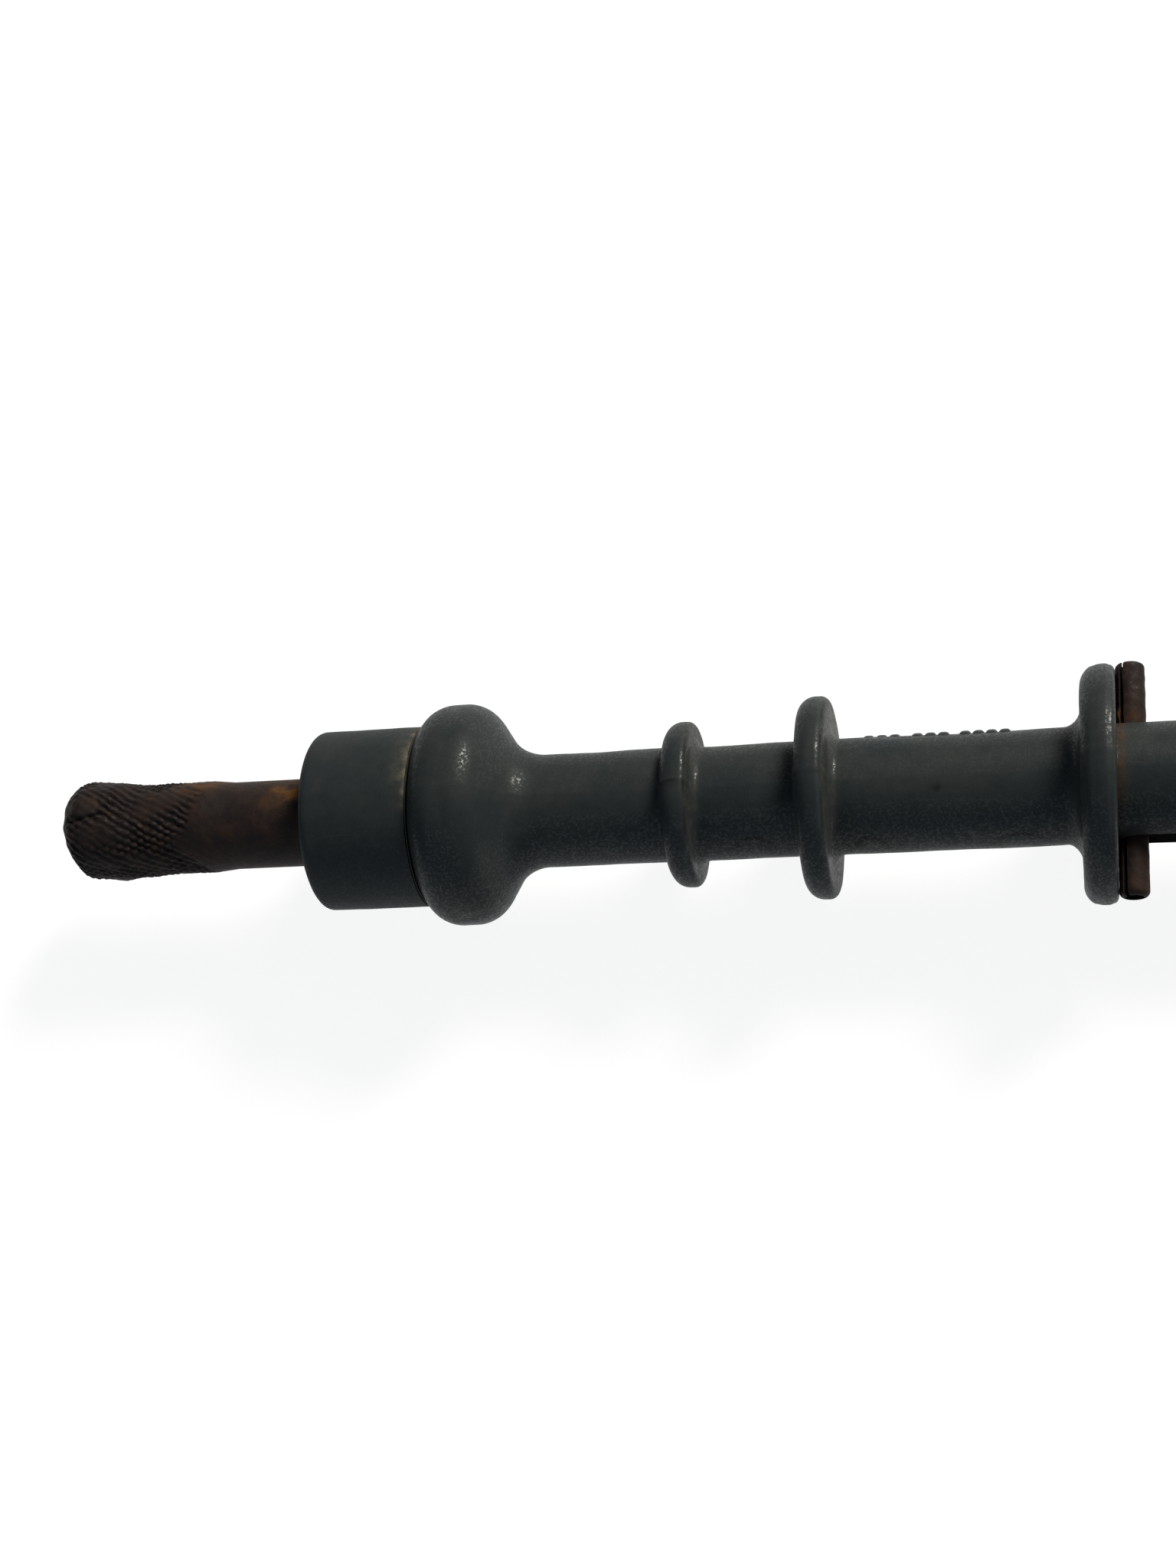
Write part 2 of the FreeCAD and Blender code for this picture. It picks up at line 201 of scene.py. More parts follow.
class Paint(Graph):
    """The nodes of one material."""

    def __init__(self, name: str) -> None:
        """Starts a material with an empty tree.

        Args:
            name: The material's name.
        """
        self.material = bpy.data.materials.new(name)
        self.material.use_nodes = True
        super().__init__(self.material.node_tree)
        self.tree.nodes.clear()
        place = self.node("ShaderNodeTexCoord", output="Object")
        self.place = self.node(
            "ShaderNodeVectorMath", {"operation": "SCALE"}, {0: place, "Scale": PER_METRE}
        )

    def painted(self, name: str) -> Wire:
        """A value that the mesh carries at its points."""
        return self.node("ShaderNodeAttribute", {"attribute_name": name}, output="Fac")

    def spread(self, size: Colour, shift: float) -> Wire:
        """The place, measured in patches of one size.

        Args:
            size: The patch's size along X, Y and Z, in millimetres.
            shift: A number that moves one pattern off another.

        Returns:
            The vector for a texture of scale 1.
        """
        scale = tuple(1 / length for length in size)
        return self.node(
            "ShaderNodeMapping",
            {"vector_type": "POINT"},
            {"Vector": self.place, "Location": (shift, shift * 1.7, shift * 0.6), "Scale": scale},
        )

    def clouds(self, size: float | Colour, shift: float, detail: float = 4.0, sharp: float = 0.55) -> Wire:
        """Soft random patches.

        Args:
            size: Their size in millimetres, one number or one for each axis.
            shift: A number that moves one pattern off another.
            detail: How many finer layers are added.
            sharp: How strong the finer layers are.

        Returns:
            Values around 0.5.
        """
        sizes = size if isinstance(size, tuple) else (size, size, size)
        return self.node(
            "ShaderNodeTexNoise",
            {"noise_dimensions": "3D"},
            {"Vector": self.spread(sizes, shift), "Scale": 1.0, "Detail": detail, "Roughness": sharp},
        )

    def cells(self, size: float, shift: float) -> Wire:
        """Distance to the nearest of many random points, 0 at each point."""
        return self.node(
            "ShaderNodeTexVoronoi",
            {"feature": "F1"},
            {"Vector": self.spread((size, size, size), shift), "Scale": 1.0},
            output="Distance",
        )

    def above(self, value: Wire, low: float, high: float) -> Wire:
        """A smooth step.

        Args:
            value: The value that is tested.
            low: Where the step starts to leave 0.
            high: Where it reaches 1.

        Returns:
            The mask.
        """
        return self.node(
            "ShaderNodeMapRange",
            {"interpolation_type": "SMOOTHSTEP", "clamp": True},
            {"Value": value, "From Min": low, "From Max": high, "To Min": 0.0, "To Max": 1.0},
        )

    def tinted(self, mask: "Wire | float", base: "Wire | Colour", other: "Wire | Colour") -> Wire:
        """Mixes two colours.

        Args:
            mask: 0 for the base, 1 for the other colour.
            base: The first colour.
            other: The second colour.

        Returns:
            The mixed colour.
        """
        ends = [end if isinstance(end, Wire) else (*end, 1.0) for end in (base, other)]
        return self.node(
            "ShaderNodeMix",
            {"data_type": "RGBA", "blend_type": "MIX", "clamp_factor": True},
            {0: mask, 6: ends[0], 7: ends[1]},
            output=2,
        )

    def shaded(self, colour: Wire, amount: Wire) -> Wire:
        """Multiplies a colour by a number at each point."""
        return self.node("ShaderNodeVectorMath", {"operation": "SCALE"}, {0: colour, "Scale": amount})

    def relief(self, height: Wire, depth: float, below: Wire | None = None) -> Wire:
        """Adds a bump.

        Args:
            height: The height from 0 to 1.
            depth: The real height of 1, in millimetres.
            below: The normal of a bump under this one.

        Returns:
            The new normal.
        """
        values: dict[str | int, Link] = {"Height": height, "Strength": 1.0, "Distance": depth * MM}
        if below is not None:
            values["Normal"] = below
        return self.node("ShaderNodeBump", None, values, output="Normal")

    def done(
        self,
        base: Wire,
        roughness: "Wire | float",
        metallic: "Wire | float",
        normal: Wire | None,
        reflection: float = 0.5,
        coat: "Wire | float" = 0.0,
        glow: float = 0.0,
    ) -> bpy.types.Material:
        """Joins everything to a Principled shader.

        Args:
            base: The colour.
            roughness: How dull the surface is.
            metallic: 0 for a moulding, 1 for bare metal.
            normal: The bumped normal.
            reflection: The strength of the plain reflection, the same all over.
            coat: Where small glossy spots lie, from 0 to 1.
            glow: How strongly it shines white by itself.

        Returns:
            The finished material.
        """
        values: dict[str | int, Link] = {
            "Base Color": base,
            "Roughness": roughness,
            "Metallic": metallic,
            "Specular IOR Level": reflection,
            "Coat Weight": coat,
            "Coat Roughness": COAT_ROUGHNESS,
        }
        if normal is not None:
            values["Normal"] = normal
        if glow > 0:
            values |= {"Emission Color": (1.0, 1.0, 1.0, 1.0), "Emission Strength": glow}
        shader = self.node("ShaderNodeBsdfPrincipled", None, values, output="BSDF")
        self.node("ShaderNodeOutputMaterial", None, {"Surface": shader})
        return self.material


# ---- Finishes ------------------------------------------------------------------
@dataclass(frozen=True)
class MouldedPhenolic:
    """Dull dark moulding, faded, dusty in its corners and stained beside the pin, darkened by dirt and by
    painted shade in its cracks, corners and joints.
    """

    name: str = "moulded_phenolic"
    body: Colour = (0.0135, 0.0166, 0.0178)
    faded: Colour = (0.0175, 0.0200, 0.0200)
    dust: Colour = (0.075, 0.066, 0.048)
    grime_and_shade: Colour = (0.003, 0.003, 0.003)
    rust: Colour = (0.040, 0.023, 0.012)
    scuff: Colour = (0.040, 0.044, 0.044)
    dullness: float = 0.42
    grain_size: float = 0.24
    grain_depth: float = 0.012
    reflection: float = 0.04
    gloss: float = 0.20

    def material(self) -> bpy.types.Material:
        """Builds the material."""
        paint = Paint(self.name)
        fading = paint.above(paint.clouds(7.0, 3.1), 0.36, 0.68)
        base = paint.tinted(fading, self.body, self.faded)
        mottle = paint.clouds(0.9, 8.7, detail=5.0, sharp=0.65)
        base = paint.shaded(base, 0.78 + mottle * 0.44)
        scratches = paint.above(paint.clouds((0.10, 1.9, 1.9), 5.5, detail=2.0), 0.655, 0.74)
        rubs = paint.above(paint.clouds((2.6, 0.35, 0.35), 2.2, detail=3.0), 0.62, 0.78)
        worn = paint.clamped(scratches * 0.22 + rubs * 0.16 + paint.painted("wear") * 0.5)
        base = paint.tinted(worn, base, self.scuff)
        patchy = paint.above(paint.clouds(0.8, 6.4, detail=5.0, sharp=0.7), 0.38, 0.66)
        dusty = paint.clamped(paint.painted("dust") * (0.25 + patchy * 0.75))
        base = paint.tinted(dusty, base, self.dust)
        stained = paint.clamped(paint.painted("stain") * (0.45 + patchy * 0.55))
        base = paint.tinted(stained, base, self.rust)
        # The dark grime colour is dirt in cracks and specks, and painted shade along the rib rims, in the
        # flange corner and in the joints.
        base = paint.tinted(paint.painted("grime_and_shade"), base, self.grime_and_shade)
        roughness = self.dullness + (mottle - 0.5) * 0.22 + dusty * 0.3 + fading * 0.06
        grain = paint.clouds(self.grain_size, 1.3, detail=3.0, sharp=0.6)
        normal = paint.relief(grain, self.grain_depth)
        normal = paint.relief(1.0 - scratches * 0.7 - rubs * 0.3, 0.006, normal)
        spots = paint.above(paint.clouds(0.24, 4.9, detail=3.0, sharp=0.6), 0.50, 0.58)
        coat = paint.clamped(spots * (1.0 - dusty)) * self.gloss
        return paint.done(base, paint.clamped(roughness), 0.0, normal, self.reflection, coat)


@dataclass(frozen=True)
class RustedSteel:
    """Old steel under an even brown rust, rubbed bright on its ridges, with painted shade in its grooves and
    painted highlights on its ridges.
    """

    name: str = "rusted_steel"
    deep: Colour = (0.0122, 0.0092, 0.0092)
    brown: Colour = (0.0175, 0.0118, 0.0104)
    orange: Colour = (0.105, 0.046, 0.011)
    bright: Colour = (0.075, 0.070, 0.074)
    grease_and_shade: Colour = (0.004, 0.003, 0.003)
    dullness: float = 0.60
    pit_size: float = 0.22
    pit_depth: float = 0.024
    reflection: float = 0.06
    gloss: float = 0.8

    def material(self) -> bpy.types.Material:
        """Builds the material."""
        paint = Paint(self.name)
        patches = paint.above(paint.clouds(1.6, 4.4, detail=5.0, sharp=0.62), 0.38, 0.62)
        base = paint.tinted(patches, self.deep, self.brown)
        specks = paint.above(paint.clouds(0.35, 9.1, detail=4.0, sharp=0.7), 0.56, 0.72)
        rusty = paint.clamped(paint.painted("rust") * (0.35 + patches * 0.65) + specks * 0.10)
        base = paint.tinted(rusty, base, self.orange)
        ridge = paint.painted("ridge")
        # Painted shade and highlight: grooves darkened and ridges lightened by the knurl's height.
        base = paint.shaded(base, 0.35 + ridge * 0.75)
        # The rubbed ridge tops are worn bare metal and also a painted highlight for their sparkle.
        rubbed = paint.clamped(paint.above(ridge, 0.80, 1.0) * paint.above(specks + patches * 0.5, 0.3, 1.0))
        base = paint.tinted(rubbed * 0.5, base, self.bright)
        # Dark grease on the rod by the collar, and painted shade inside the pin's bore.
        base = paint.tinted(paint.painted("grime_and_shade"), base, self.grease_and_shade)
        pits = paint.clouds(self.pit_size, 1.9, detail=4.0, sharp=0.65)
        flakes = paint.cells(0.6, 7.3)
        normal = paint.relief(pits, self.pit_depth)
        normal = paint.relief(flakes, self.pit_depth * 0.8, normal)
        roughness = self.dullness + (pits - 0.5) * 0.3 - rubbed * 0.22 + rusty * 0.25
        metallic = paint.clamped(0.12 + rubbed * 0.6 - rusty * 0.3)
        sparks = paint.above(paint.clouds(0.20, 6.3, detail=2.0), 0.52, 0.62)
        coat = paint.clamped(sparks * (0.05 + rubbed * 0.7)) * self.gloss
        return paint.done(base, paint.clamped(roughness), metallic, normal, self.reflection, coat)


@dataclass(frozen=True)
class WorkedMetal:
    """Turned or plated metal with fine tool rings and a patchy tarnish."""

    name: str
    clean: Colour
    tarnish: Colour
    dullness: float
    tarnished: float
    ring_size: float = 0.07
    ring_depth: float = 0.003

    def material(self) -> bpy.types.Material:
        """Builds the material."""
        paint = Paint(self.name)
        patches = paint.above(paint.clouds(2.2, 5.2, detail=5.0, sharp=0.65), 0.30, 0.72)
        specks = paint.above(paint.clouds(0.28, 7.7, detail=3.0), 0.58, 0.70)
        cover = paint.clamped((patches + specks * 0.5) * self.tarnished)
        base = paint.tinted(cover, self.clean, self.tarnish)
        rings = paint.clouds((self.ring_size, 4.0, 4.0), 2.6, detail=2.0)
        normal = paint.relief(rings, self.ring_depth)
        normal = paint.relief(paint.clouds(0.5, 3.3), self.ring_depth * 2, normal)
        roughness = self.dullness + cover * 0.28 + (rings - 0.5) * 0.15
        return paint.done(base, paint.clamped(roughness), paint.clamped(1.0 - cover * 0.35), normal)


@dataclass(frozen=True)
class SoftFinish:
    """Rubber, nylon, felt or fibre: one soft colour, mottled, with a grain."""

    name: str
    light: Colour
    dark: Colour
    dullness: float
    grain_size: Colour
    grain_depth: float

    def material(self) -> bpy.types.Material:
        """Builds the material."""
        paint = Paint(self.name)
        mottle = paint.clouds(1.4, 2.9, detail=5.0, sharp=0.6)
        base = paint.tinted(paint.above(mottle, 0.32, 0.68), self.dark, self.light)
        grain = paint.clouds(self.grain_size, 6.1, detail=4.0, sharp=0.7)
        base = paint.shaded(base, 0.7 + grain * 0.6)
        normal = paint.relief(grain, self.grain_depth)
        return paint.done(base, paint.clamped(self.dullness + (grain - 0.5) * 0.2), 0.0, normal)


@dataclass(frozen=True)
class PaleFloor:
    """A plain pale studio table."""

    name: str = "pale_floor"
    base: Colour = (0.16, 0.16, 0.16)
    dullness: float = 0.9
    reflection: float = 0.1
    glow: float = 0.88

    def material(self) -> bpy.types.Material:
        """Builds the material."""
        paint = Paint(self.name)
        grain = paint.clouds(4.0, 1.1)
        base = paint.shaded(paint.tinted(0.5, self.base, self.base), 0.99 + grain * 0.02)
        return paint.done(base, self.dullness, 0.0, None, self.reflection, glow=self.glow)


GRIP_FINISH = MouldedPhenolic()
COLLAR_FINISH = MouldedPhenolic(
    "turned_phenolic",
    dust=(0.092, 0.083, 0.056),
    dullness=0.56,
    grain_size=0.22,
    grain_depth=0.007,
    gloss=0.06,
)
ROD_FINISH = RustedSteel()
PIN_FINISH = RustedSteel("rusted_pin", brown=(0.0200, 0.0122, 0.0104), orange=(0.050, 0.021, 0.009))
BRASS = WorkedMetal("turned_brass", (0.50, 0.37, 0.15), (0.17, 0.11, 0.045), 0.30, 0.5)
AGED_BRASS = WorkedMetal("aged_brass", (0.34, 0.25, 0.105), (0.085, 0.058, 0.030), 0.38, 0.9)
PLAIN_STEEL = WorkedMetal("plain_steel", (0.42, 0.42, 0.42), (0.12, 0.095, 0.075), 0.34, 0.6)
PLATED_STEEL = WorkedMetal("plated_steel", (0.47, 0.46, 0.44), (0.13, 0.10, 0.075), 0.30, 0.75)
SPRING_STEEL = WorkedMetal("spring_steel", (0.33, 0.33, 0.35), (0.09, 0.07, 0.06), 0.32, 0.5)
RUBBER = SoftFinish("rubber", (0.034, 0.034, 0.035), (0.016, 0.016, 0.017), 0.78, (0.2, 0.2, 0.2), 0.02)
NYLON = SoftFinish("nylon", (0.66, 0.63, 0.54), (0.50, 0.46, 0.36), 0.48, (0.1, 0.5, 0.5), 0.005)
FELT = SoftFinish("oiled_felt", (0.17, 0.15, 0.12), (0.06, 0.05, 0.04), 0.95, (0.12, 0.12, 0.12), 0.08)
FIBRE = SoftFinish(
    "vulcanised_fibre", (0.007, 0.006, 0.005), (0.004, 0.003, 0.003), 0.9, (0.1, 0.4, 0.4), 0.01
)


# ---- Turned shapes -------------------------------------------------------------
@dataclass(frozen=True)
class Corner:
    """A corner of a half section, with the radius that rounds it, in millimetres."""

    x: float
    radius: float
    rounding: float = 0.0
    fine: float = 1.0


@dataclass
class Section:
    """The half section of a turned piece, as corners joined by straight runs.

    A corner's fine divides the step on the run that follows it.
    """

    corners: list[Corner]
    step: float = 0.4
    arc_steps: int = 10
    loop: bool = True

    def outline(self) -> np.ndarray:
        """Rounds the corners and divides the runs.

        Returns:
            The points (x, radius) in order, in millimetres.
        """
        points: list[np.ndarray] = []
        steps: list[float] = []
        last = len(self.corners) - 1
        for index, corner in enumerate(self.corners):
            here = np.array((corner.x, corner.radius))
            if corner.rounding <= 0 or (not self.loop and index in (0, last)):
                points.append(here)
            else:
                following = self.corners[0 if index == last else index + 1]
                before = self.corners[index - 1]
                points.extend(self._arc(before, here, following, corner.rounding))
            steps += [self.step / corner.fine] * (len(points) - len(steps))
        return self._divided(points, steps)

    def _arc(self, before: Corner, here: np.ndarray, after: Corner, rounding: float) -> list[np.ndarray]:
        """The points of one rounded corner.

        Args:
            before: The corner before.
            here: This corner.
            after: The corner after.
            rounding: The arc's radius.

        Returns:
            Points along the arc.
        """
        back = np.array((before.x, before.radius)) - here
        ahead = np.array((after.x, after.radius)) - here
        back, ahead = back / np.linalg.norm(back), ahead / np.linalg.norm(ahead)
        half = math.acos(float(np.clip(back @ ahead, -1, 1))) / 2
        middle = (back + ahead) / np.linalg.norm(back + ahead)
        centre = here + middle * rounding / math.sin(half)
        start = here + back * rounding / math.tan(half) - centre
        end = here + ahead * rounding / math.tan(half) - centre
        swing = math.acos(float(np.clip(start @ end / rounding**2, -1, 1)))
        shares = np.linspace(0, 1, self.arc_steps + 1)
        return [
            centre + (math.sin((1 - t) * swing) * start + math.sin(t * swing) * end) / math.sin(swing)
            for t in shares
        ]

    def _divided(self, points: list[np.ndarray], steps: list[float]) -> np.ndarray:
        """Divides each run that is longer than its step.

        Args:
            points: The corner points in order.
            steps: The longest step on the run after each point.

        Returns:
            All points in order, none of them twice.
        """
        runs = list(zip(points, points[1:] + points[:1])) if self.loop else list(zip(points, points[1:]))
        filled: list[np.ndarray] = []
        for (start, end), step in zip(runs, steps):
            length = float(np.linalg.norm(end - start))
            if length < TINY:
                continue
            count = max(1, math.ceil(length / step))
            filled += [start + (end - start) * k / count for k in range(count)]
        if not self.loop:
            filled.append(points[-1])
        return np.array(filled)


@dataclass
class Skin:
    """The points of a turned surface: rings along the section, each with its angles.

    Angles are measured from +Z towards +Y.
    """

    x: np.ndarray
    radius: np.ndarray
    angle: np.ndarray

    def points(self) -> np.ndarray:
        """The places in millimetres."""
        return np.stack(
            (self.x, self.radius * np.sin(self.angle), self.radius * np.cos(self.angle)), axis=-1
        )


Rule = Callable[[Skin], np.ndarray]


@dataclass(frozen=True)
class Waves:
    """Smooth seeded unevenness, a sum of waves through space."""

    seed: int
    size: float
    count: int = 28

    def at(self, points: np.ndarray) -> np.ndarray:
        """The height at each place.

        Args:
            points: Places in millimetres, with X, Y and Z last.

        Returns:
            Heights, mostly between -1 and 1.
        """
        source = np.random.default_rng(self.seed)
        turns = source.normal(size=(self.count, 3))
        turns /= np.linalg.norm(turns, axis=1)[:, None]
        turns *= (FULL_TURN / (self.size * source.uniform(0.7, 1.7, self.count)))[:, None]
        phase = source.uniform(0, FULL_TURN, self.count)
        return np.cos(points @ turns.T + phase).sum(-1) / math.sqrt(self.count)


@dataclass
class Lathe:
    """Turns a section about the handle's axis and lifts its skin."""

    section: Section
    turns: int = 96
    relief: Rule | None = None
    coats: dict[str, Rule] = field(default_factory=dict)

    def mesh(self, name: str) -> bpy.types.Mesh:
        """Builds the mesh.

        Args:
            name: The mesh's name.

        Returns:
            A closed mesh in metres with its faces outwards.
        """
        outline = self.section.outline()
        if not self._runs_outwards(outline):
            outline = outline[::-1]
        angles = np.linspace(0, FULL_TURN, self.turns, endpoint=False)
        x, angle = np.meshgrid(outline[:, 0], angles, indexing="ij")
        radius = np.repeat(outline[:, 1][:, None], self.turns, axis=1)
        skin = Skin(x, radius, angle)
        if self.relief is not None:
            height = self.relief(skin)
            height[outline[:, 1] < TINY] = height[outline[:, 1] < TINY].mean()
            facing = self._facing(outline)
            skin = Skin(
                x + height * facing[:, 0][:, None],
                np.maximum(radius + height * facing[:, 1][:, None], 0),
                angle,
            )
        return self._woven(name, outline, skin)

    def _runs_outwards(self, outline: np.ndarray) -> bool:
        """Whether the section runs so that its left side is the outside."""
        ring = outline if self.section.loop else np.vstack((outline, (outline[0, 0], 0)))
        x, r = ring[:, 0], ring[:, 1]
        return float(np.sum(x * np.roll(r, -1) - np.roll(x, -1) * r)) < 0

    def _facing(self, outline: np.ndarray) -> np.ndarray:
        """The outward direction at each point of the section.

        Args:
            outline: The section's points, running with the outside on the left.

        Returns:
            Unit directions (x, radius).
        """
        if self.section.loop:
            along = np.roll(outline, -1, axis=0) - np.roll(outline, 1, axis=0)
        else:
            along = np.gradient(outline, axis=0)
        along /= np.maximum(np.linalg.norm(along, axis=1), TINY)[:, None]
        return np.stack((-along[:, 1], along[:, 0]), axis=1)

    def _woven(self, name: str, outline: np.ndarray, skin: Skin) -> bpy.types.Mesh:
        """Joins the rings with faces and paints the coats.

        Args:
            name: The mesh's name.
            outline: The section's points.
            skin: The lifted skin.

        Returns:
            The mesh.
        """
        at_pole = outline[:, 1] < TINY
        sizes = np.where(at_pole, 1, self.turns)
        starts = np.concatenate(([0], np.cumsum(sizes)[:-1]))
        places = skin.points()
        points = np.concatenate([places[i, : sizes[i]] for i in range(len(outline))])
        count = len(outline)
        pairs = range(count if self.section.loop else count - 1)
        faces: list[tuple[int, ...]] = []
        here = np.arange(self.turns)
        there = np.roll(here, -1)
        for i in pairs:
            k = (i + 1) % count
            near = [starts[i] + (here * 0 if at_pole[i] else side) for side in (here, there)]
            far = [starts[k] + (here * 0 if at_pole[k] else side) for side in (here, there)]
            if at_pole[i]:
                columns = (near[0], far[0], far[1])
            elif at_pole[k]:
                columns = (near[0], far[0], near[1])
            else:
                columns = (near[0], far[0], far[1], near[1])
            faces += list(zip(*(column.tolist() for column in columns)))
        mesh = meshed(name, points, faces)
        flat = Skin(*(
            np.concatenate([values[i, : sizes[i]] for i in range(count)])
            for values in (skin.x, skin.radius, skin.angle)
        ))
        for coat, rule in self.coats.items():
            paint_points(mesh, coat, rule(flat))
        return mesh


def meshed(name: str, points: np.ndarray, faces: list[tuple[int, ...]]) -> bpy.types.Mesh:
    """Makes a smooth mesh with outward faces from points in millimetres.

    Args:
        name: The mesh's name.
        points: The places.
        faces: Each face's point numbers.

    Returns:
        The mesh, in metres.
    """
    first = points[[face[0] for face in faces]]
    second = points[[face[1] for face in faces]]
    third = points[[face[2] for face in faces]]
    last = points[[face[-1] for face in faces]]
    volume = np.sum(first * np.cross(second, third)) + np.sum(first * np.cross(third, last))
    if volume < 0:
        faces = [face[::-1] for face in faces]
    mesh = bpy.data.meshes.new(name)
    mesh.from_pydata((points * MM).tolist(), [], faces)
    mesh.update()
    soften(mesh)
    return mesh


def soften(mesh: bpy.types.Mesh) -> None:
    """Shades a mesh smoothly up to its real edges."""
    mesh.shade_smooth()
    mesh.set_sharp_from_angle(angle=SMOOTH_BELOW)


def paint_points(mesh: bpy.types.Mesh, name: str, values: np.ndarray) -> None:
    """Stores one value for each point of a mesh.

    Args:
        mesh: The mesh.
        name: The name that its material reads.
        values: The values, held between 0 and 1.
    """
    layer = mesh.attributes.get(name) or mesh.attributes.new(name, "FLOAT", "POINT")
    layer.data.foreach_set("value", np.clip(values, 0, 1).astype(np.float32))


def skin_of(mesh: bpy.types.Mesh) -> Skin:
    """Reads a mesh's points as places on a turned surface, in millimetres."""
    flat = np.zeros(len(mesh.vertices) * 3)
    mesh.vertices.foreach_get("co", flat)
    x, y, z = (flat.reshape(-1, 3) / MM).T
    return Skin(x, np.hypot(y, z), np.arctan2(y, z))


def nudged(mesh: bpy.types.Mesh, offsets: np.ndarray) -> None:
    """Moves each point of a mesh by its own offset, in millimetres."""
    flat = np.zeros(len(mesh.vertices) * 3)
    mesh.vertices.foreach_get("co", flat)
    mesh.vertices.foreach_set("co", flat + (offsets * MM).ravel())
    mesh.update()


def upwards(skin: Skin) -> np.ndarray:
    """How far each point lies towards the handle's upper side, in millimetres."""
    return skin.radius * np.cos(skin.angle - UPPER_SIDE)


def hump(values: np.ndarray, centre: float, reach: float) -> np.ndarray:
    """1 at the centre, falling smoothly to 0 at the reach on each side."""
    share = np.clip(1 - np.abs(values - centre) / reach, 0, 1)
    return share * share * (3 - 2 * share)


def rise(values: np.ndarray, low: float, high: float) -> np.ndarray:
    """0 below low, 1 above high, with a smooth step between."""
    share = np.clip((values - low) / (high - low), 0, 1)
    return share * share * (3 - 2 * share)


def turn_from(angle: np.ndarray, centre: float) -> np.ndarray:
    """The angle from a centre, the short way round."""
    return (angle - centre + math.pi) % FULL_TURN - math.pi


def across(skin: Skin, angle: float) -> np.ndarray:
    """How far round the skin each point lies from an angle, in millimetres."""
    return turn_from(skin.angle, angle) * skin.radius


def away(skin: Skin, x: float, angle: float) -> np.ndarray:
    """How far each point lies from a spot on the skin, in millimetres."""
    return np.hypot(skin.x - x, across(skin, angle))


def bell(off: np.ndarray, reach: float) -> np.ndarray:
    """1 at 0, falling away as a bell whose width is the reach."""
    return np.exp(-((off / reach) ** 2))


def strip(here: int, there: int, count: int) -> list[tuple[int, ...]]:
    """The faces between two closed rings of points.

    Args:
        here: The first point of one ring.
        there: The first point of the other.
        count: How many points each ring has.

    Returns:
        Each face's point numbers.
    """
    return [(here + k, there + k, there + (k + 1) % count, here + (k + 1) % count) for k in range(count)]


def prism(name: str, outline: Sequence[tuple[float, float]], reach: float) -> bpy.types.Mesh:
    """Makes a closed prism that runs along Y.

    Args:
        name: The mesh's name.
        outline: Its corners (x, z) in order, in millimetres.
        reach: How far it goes to each side of the axis.

    Returns:
        The mesh.
    """
    count = len(outline)
    points = np.array([(x, side * reach, z) for side in (-1, 1) for x, z in outline])
    faces: list[tuple[int, ...]] = [tuple(range(count)), tuple(reversed(range(count, 2 * count)))]
    mesh = bpy.data.meshes.new(name)
    mesh.from_pydata((points * MM).tolist(), [], faces + strip(0, count, count))
    mesh.update()
    return mesh


def ring_section(start: float, end: float, inner: float, outer: float, rounding: float) -> list[Corner]:
    """The four corners of a plain ring whose outer edges are rounded.

    Args:
        start: Its first face along X.
        end: Its second face along X.
        inner: The bore's radius.
        outer: The outer radius.
        rounding: The radius of both outer edges.

    Returns:
        The corners in order.
    """
    return [
        Corner(start, inner),
        Corner(start, outer, rounding),
        Corner(end, outer, rounding),
        Corner(end, inner),
    ]


# ---- Placing pieces ------------------------------------------------------------
def low_x(node: str) -> float:
    """Where a CAD node starts along the axis, in millimetres."""
    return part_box(node)[0].x / MM


def high_x(node: str) -> float:
    """Where a CAD node ends along the axis, in millimetres."""
    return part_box(node)[1].x / MM


def shown(name: str, mesh: bpy.types.Mesh) -> bpy.types.Object:
    """Puts a mesh into the scene as an object at the origin."""
    piece = bpy.data.objects.new(name, mesh)
    bpy.context.scene.collection.objects.link(piece)
    return piece


def settled(piece: bpy.types.Object) -> None:
    """Turns a piece's modifiers into plain mesh.

    Args:
        piece: The piece, which keeps its name and loses its modifiers.
    """
    graph = bpy.context.evaluated_depsgraph_get()
    mesh = bpy.data.meshes.new_from_object(piece.evaluated_get(graph), depsgraph=graph)
    old = piece.data
    piece.modifiers.clear()
    piece.data = mesh
    name = old.name
    bpy.data.meshes.remove(old)
    mesh.name = name


def carved(piece: bpy.types.Object, cutter: bpy.types.Mesh) -> None:
    """Cuts one closed mesh out of a piece.

    Args:
        piece: The piece that loses material.
        cutter: The closed mesh of what is cut away.
    """
    tool = shown("cutter", cutter)
    step = piece.modifiers.new("cut", "BOOLEAN")
    step.operation = "DIFFERENCE"
    step.solver = "EXACT"
    step.object = tool
    settled(piece)
    bpy.data.objects.remove(tool)
    bpy.data.meshes.remove(cutter)
    soften(piece.data)


def fitted(
    piece: bpy.types.Object, finish: bpy.types.Material, body: Body, nodes: Sequence[str]
) -> bpy.types.Object:
    """Dresses a piece and joins it to its body.

    Args:
        piece: The piece.
        finish: Its material.
        body: The CAD body that it moves with.
        nodes: The CAD nodes that it stands for.

    Returns:
        The piece.
    """
    piece.data.materials.clear()
    piece.data.materials.append(finish)
    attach(piece, body.value)
    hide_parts(*nodes)
    log.info("%s: %d points, %d faces", piece.name, len(piece.data.vertices), len(piece.data.polygons))
    return piece


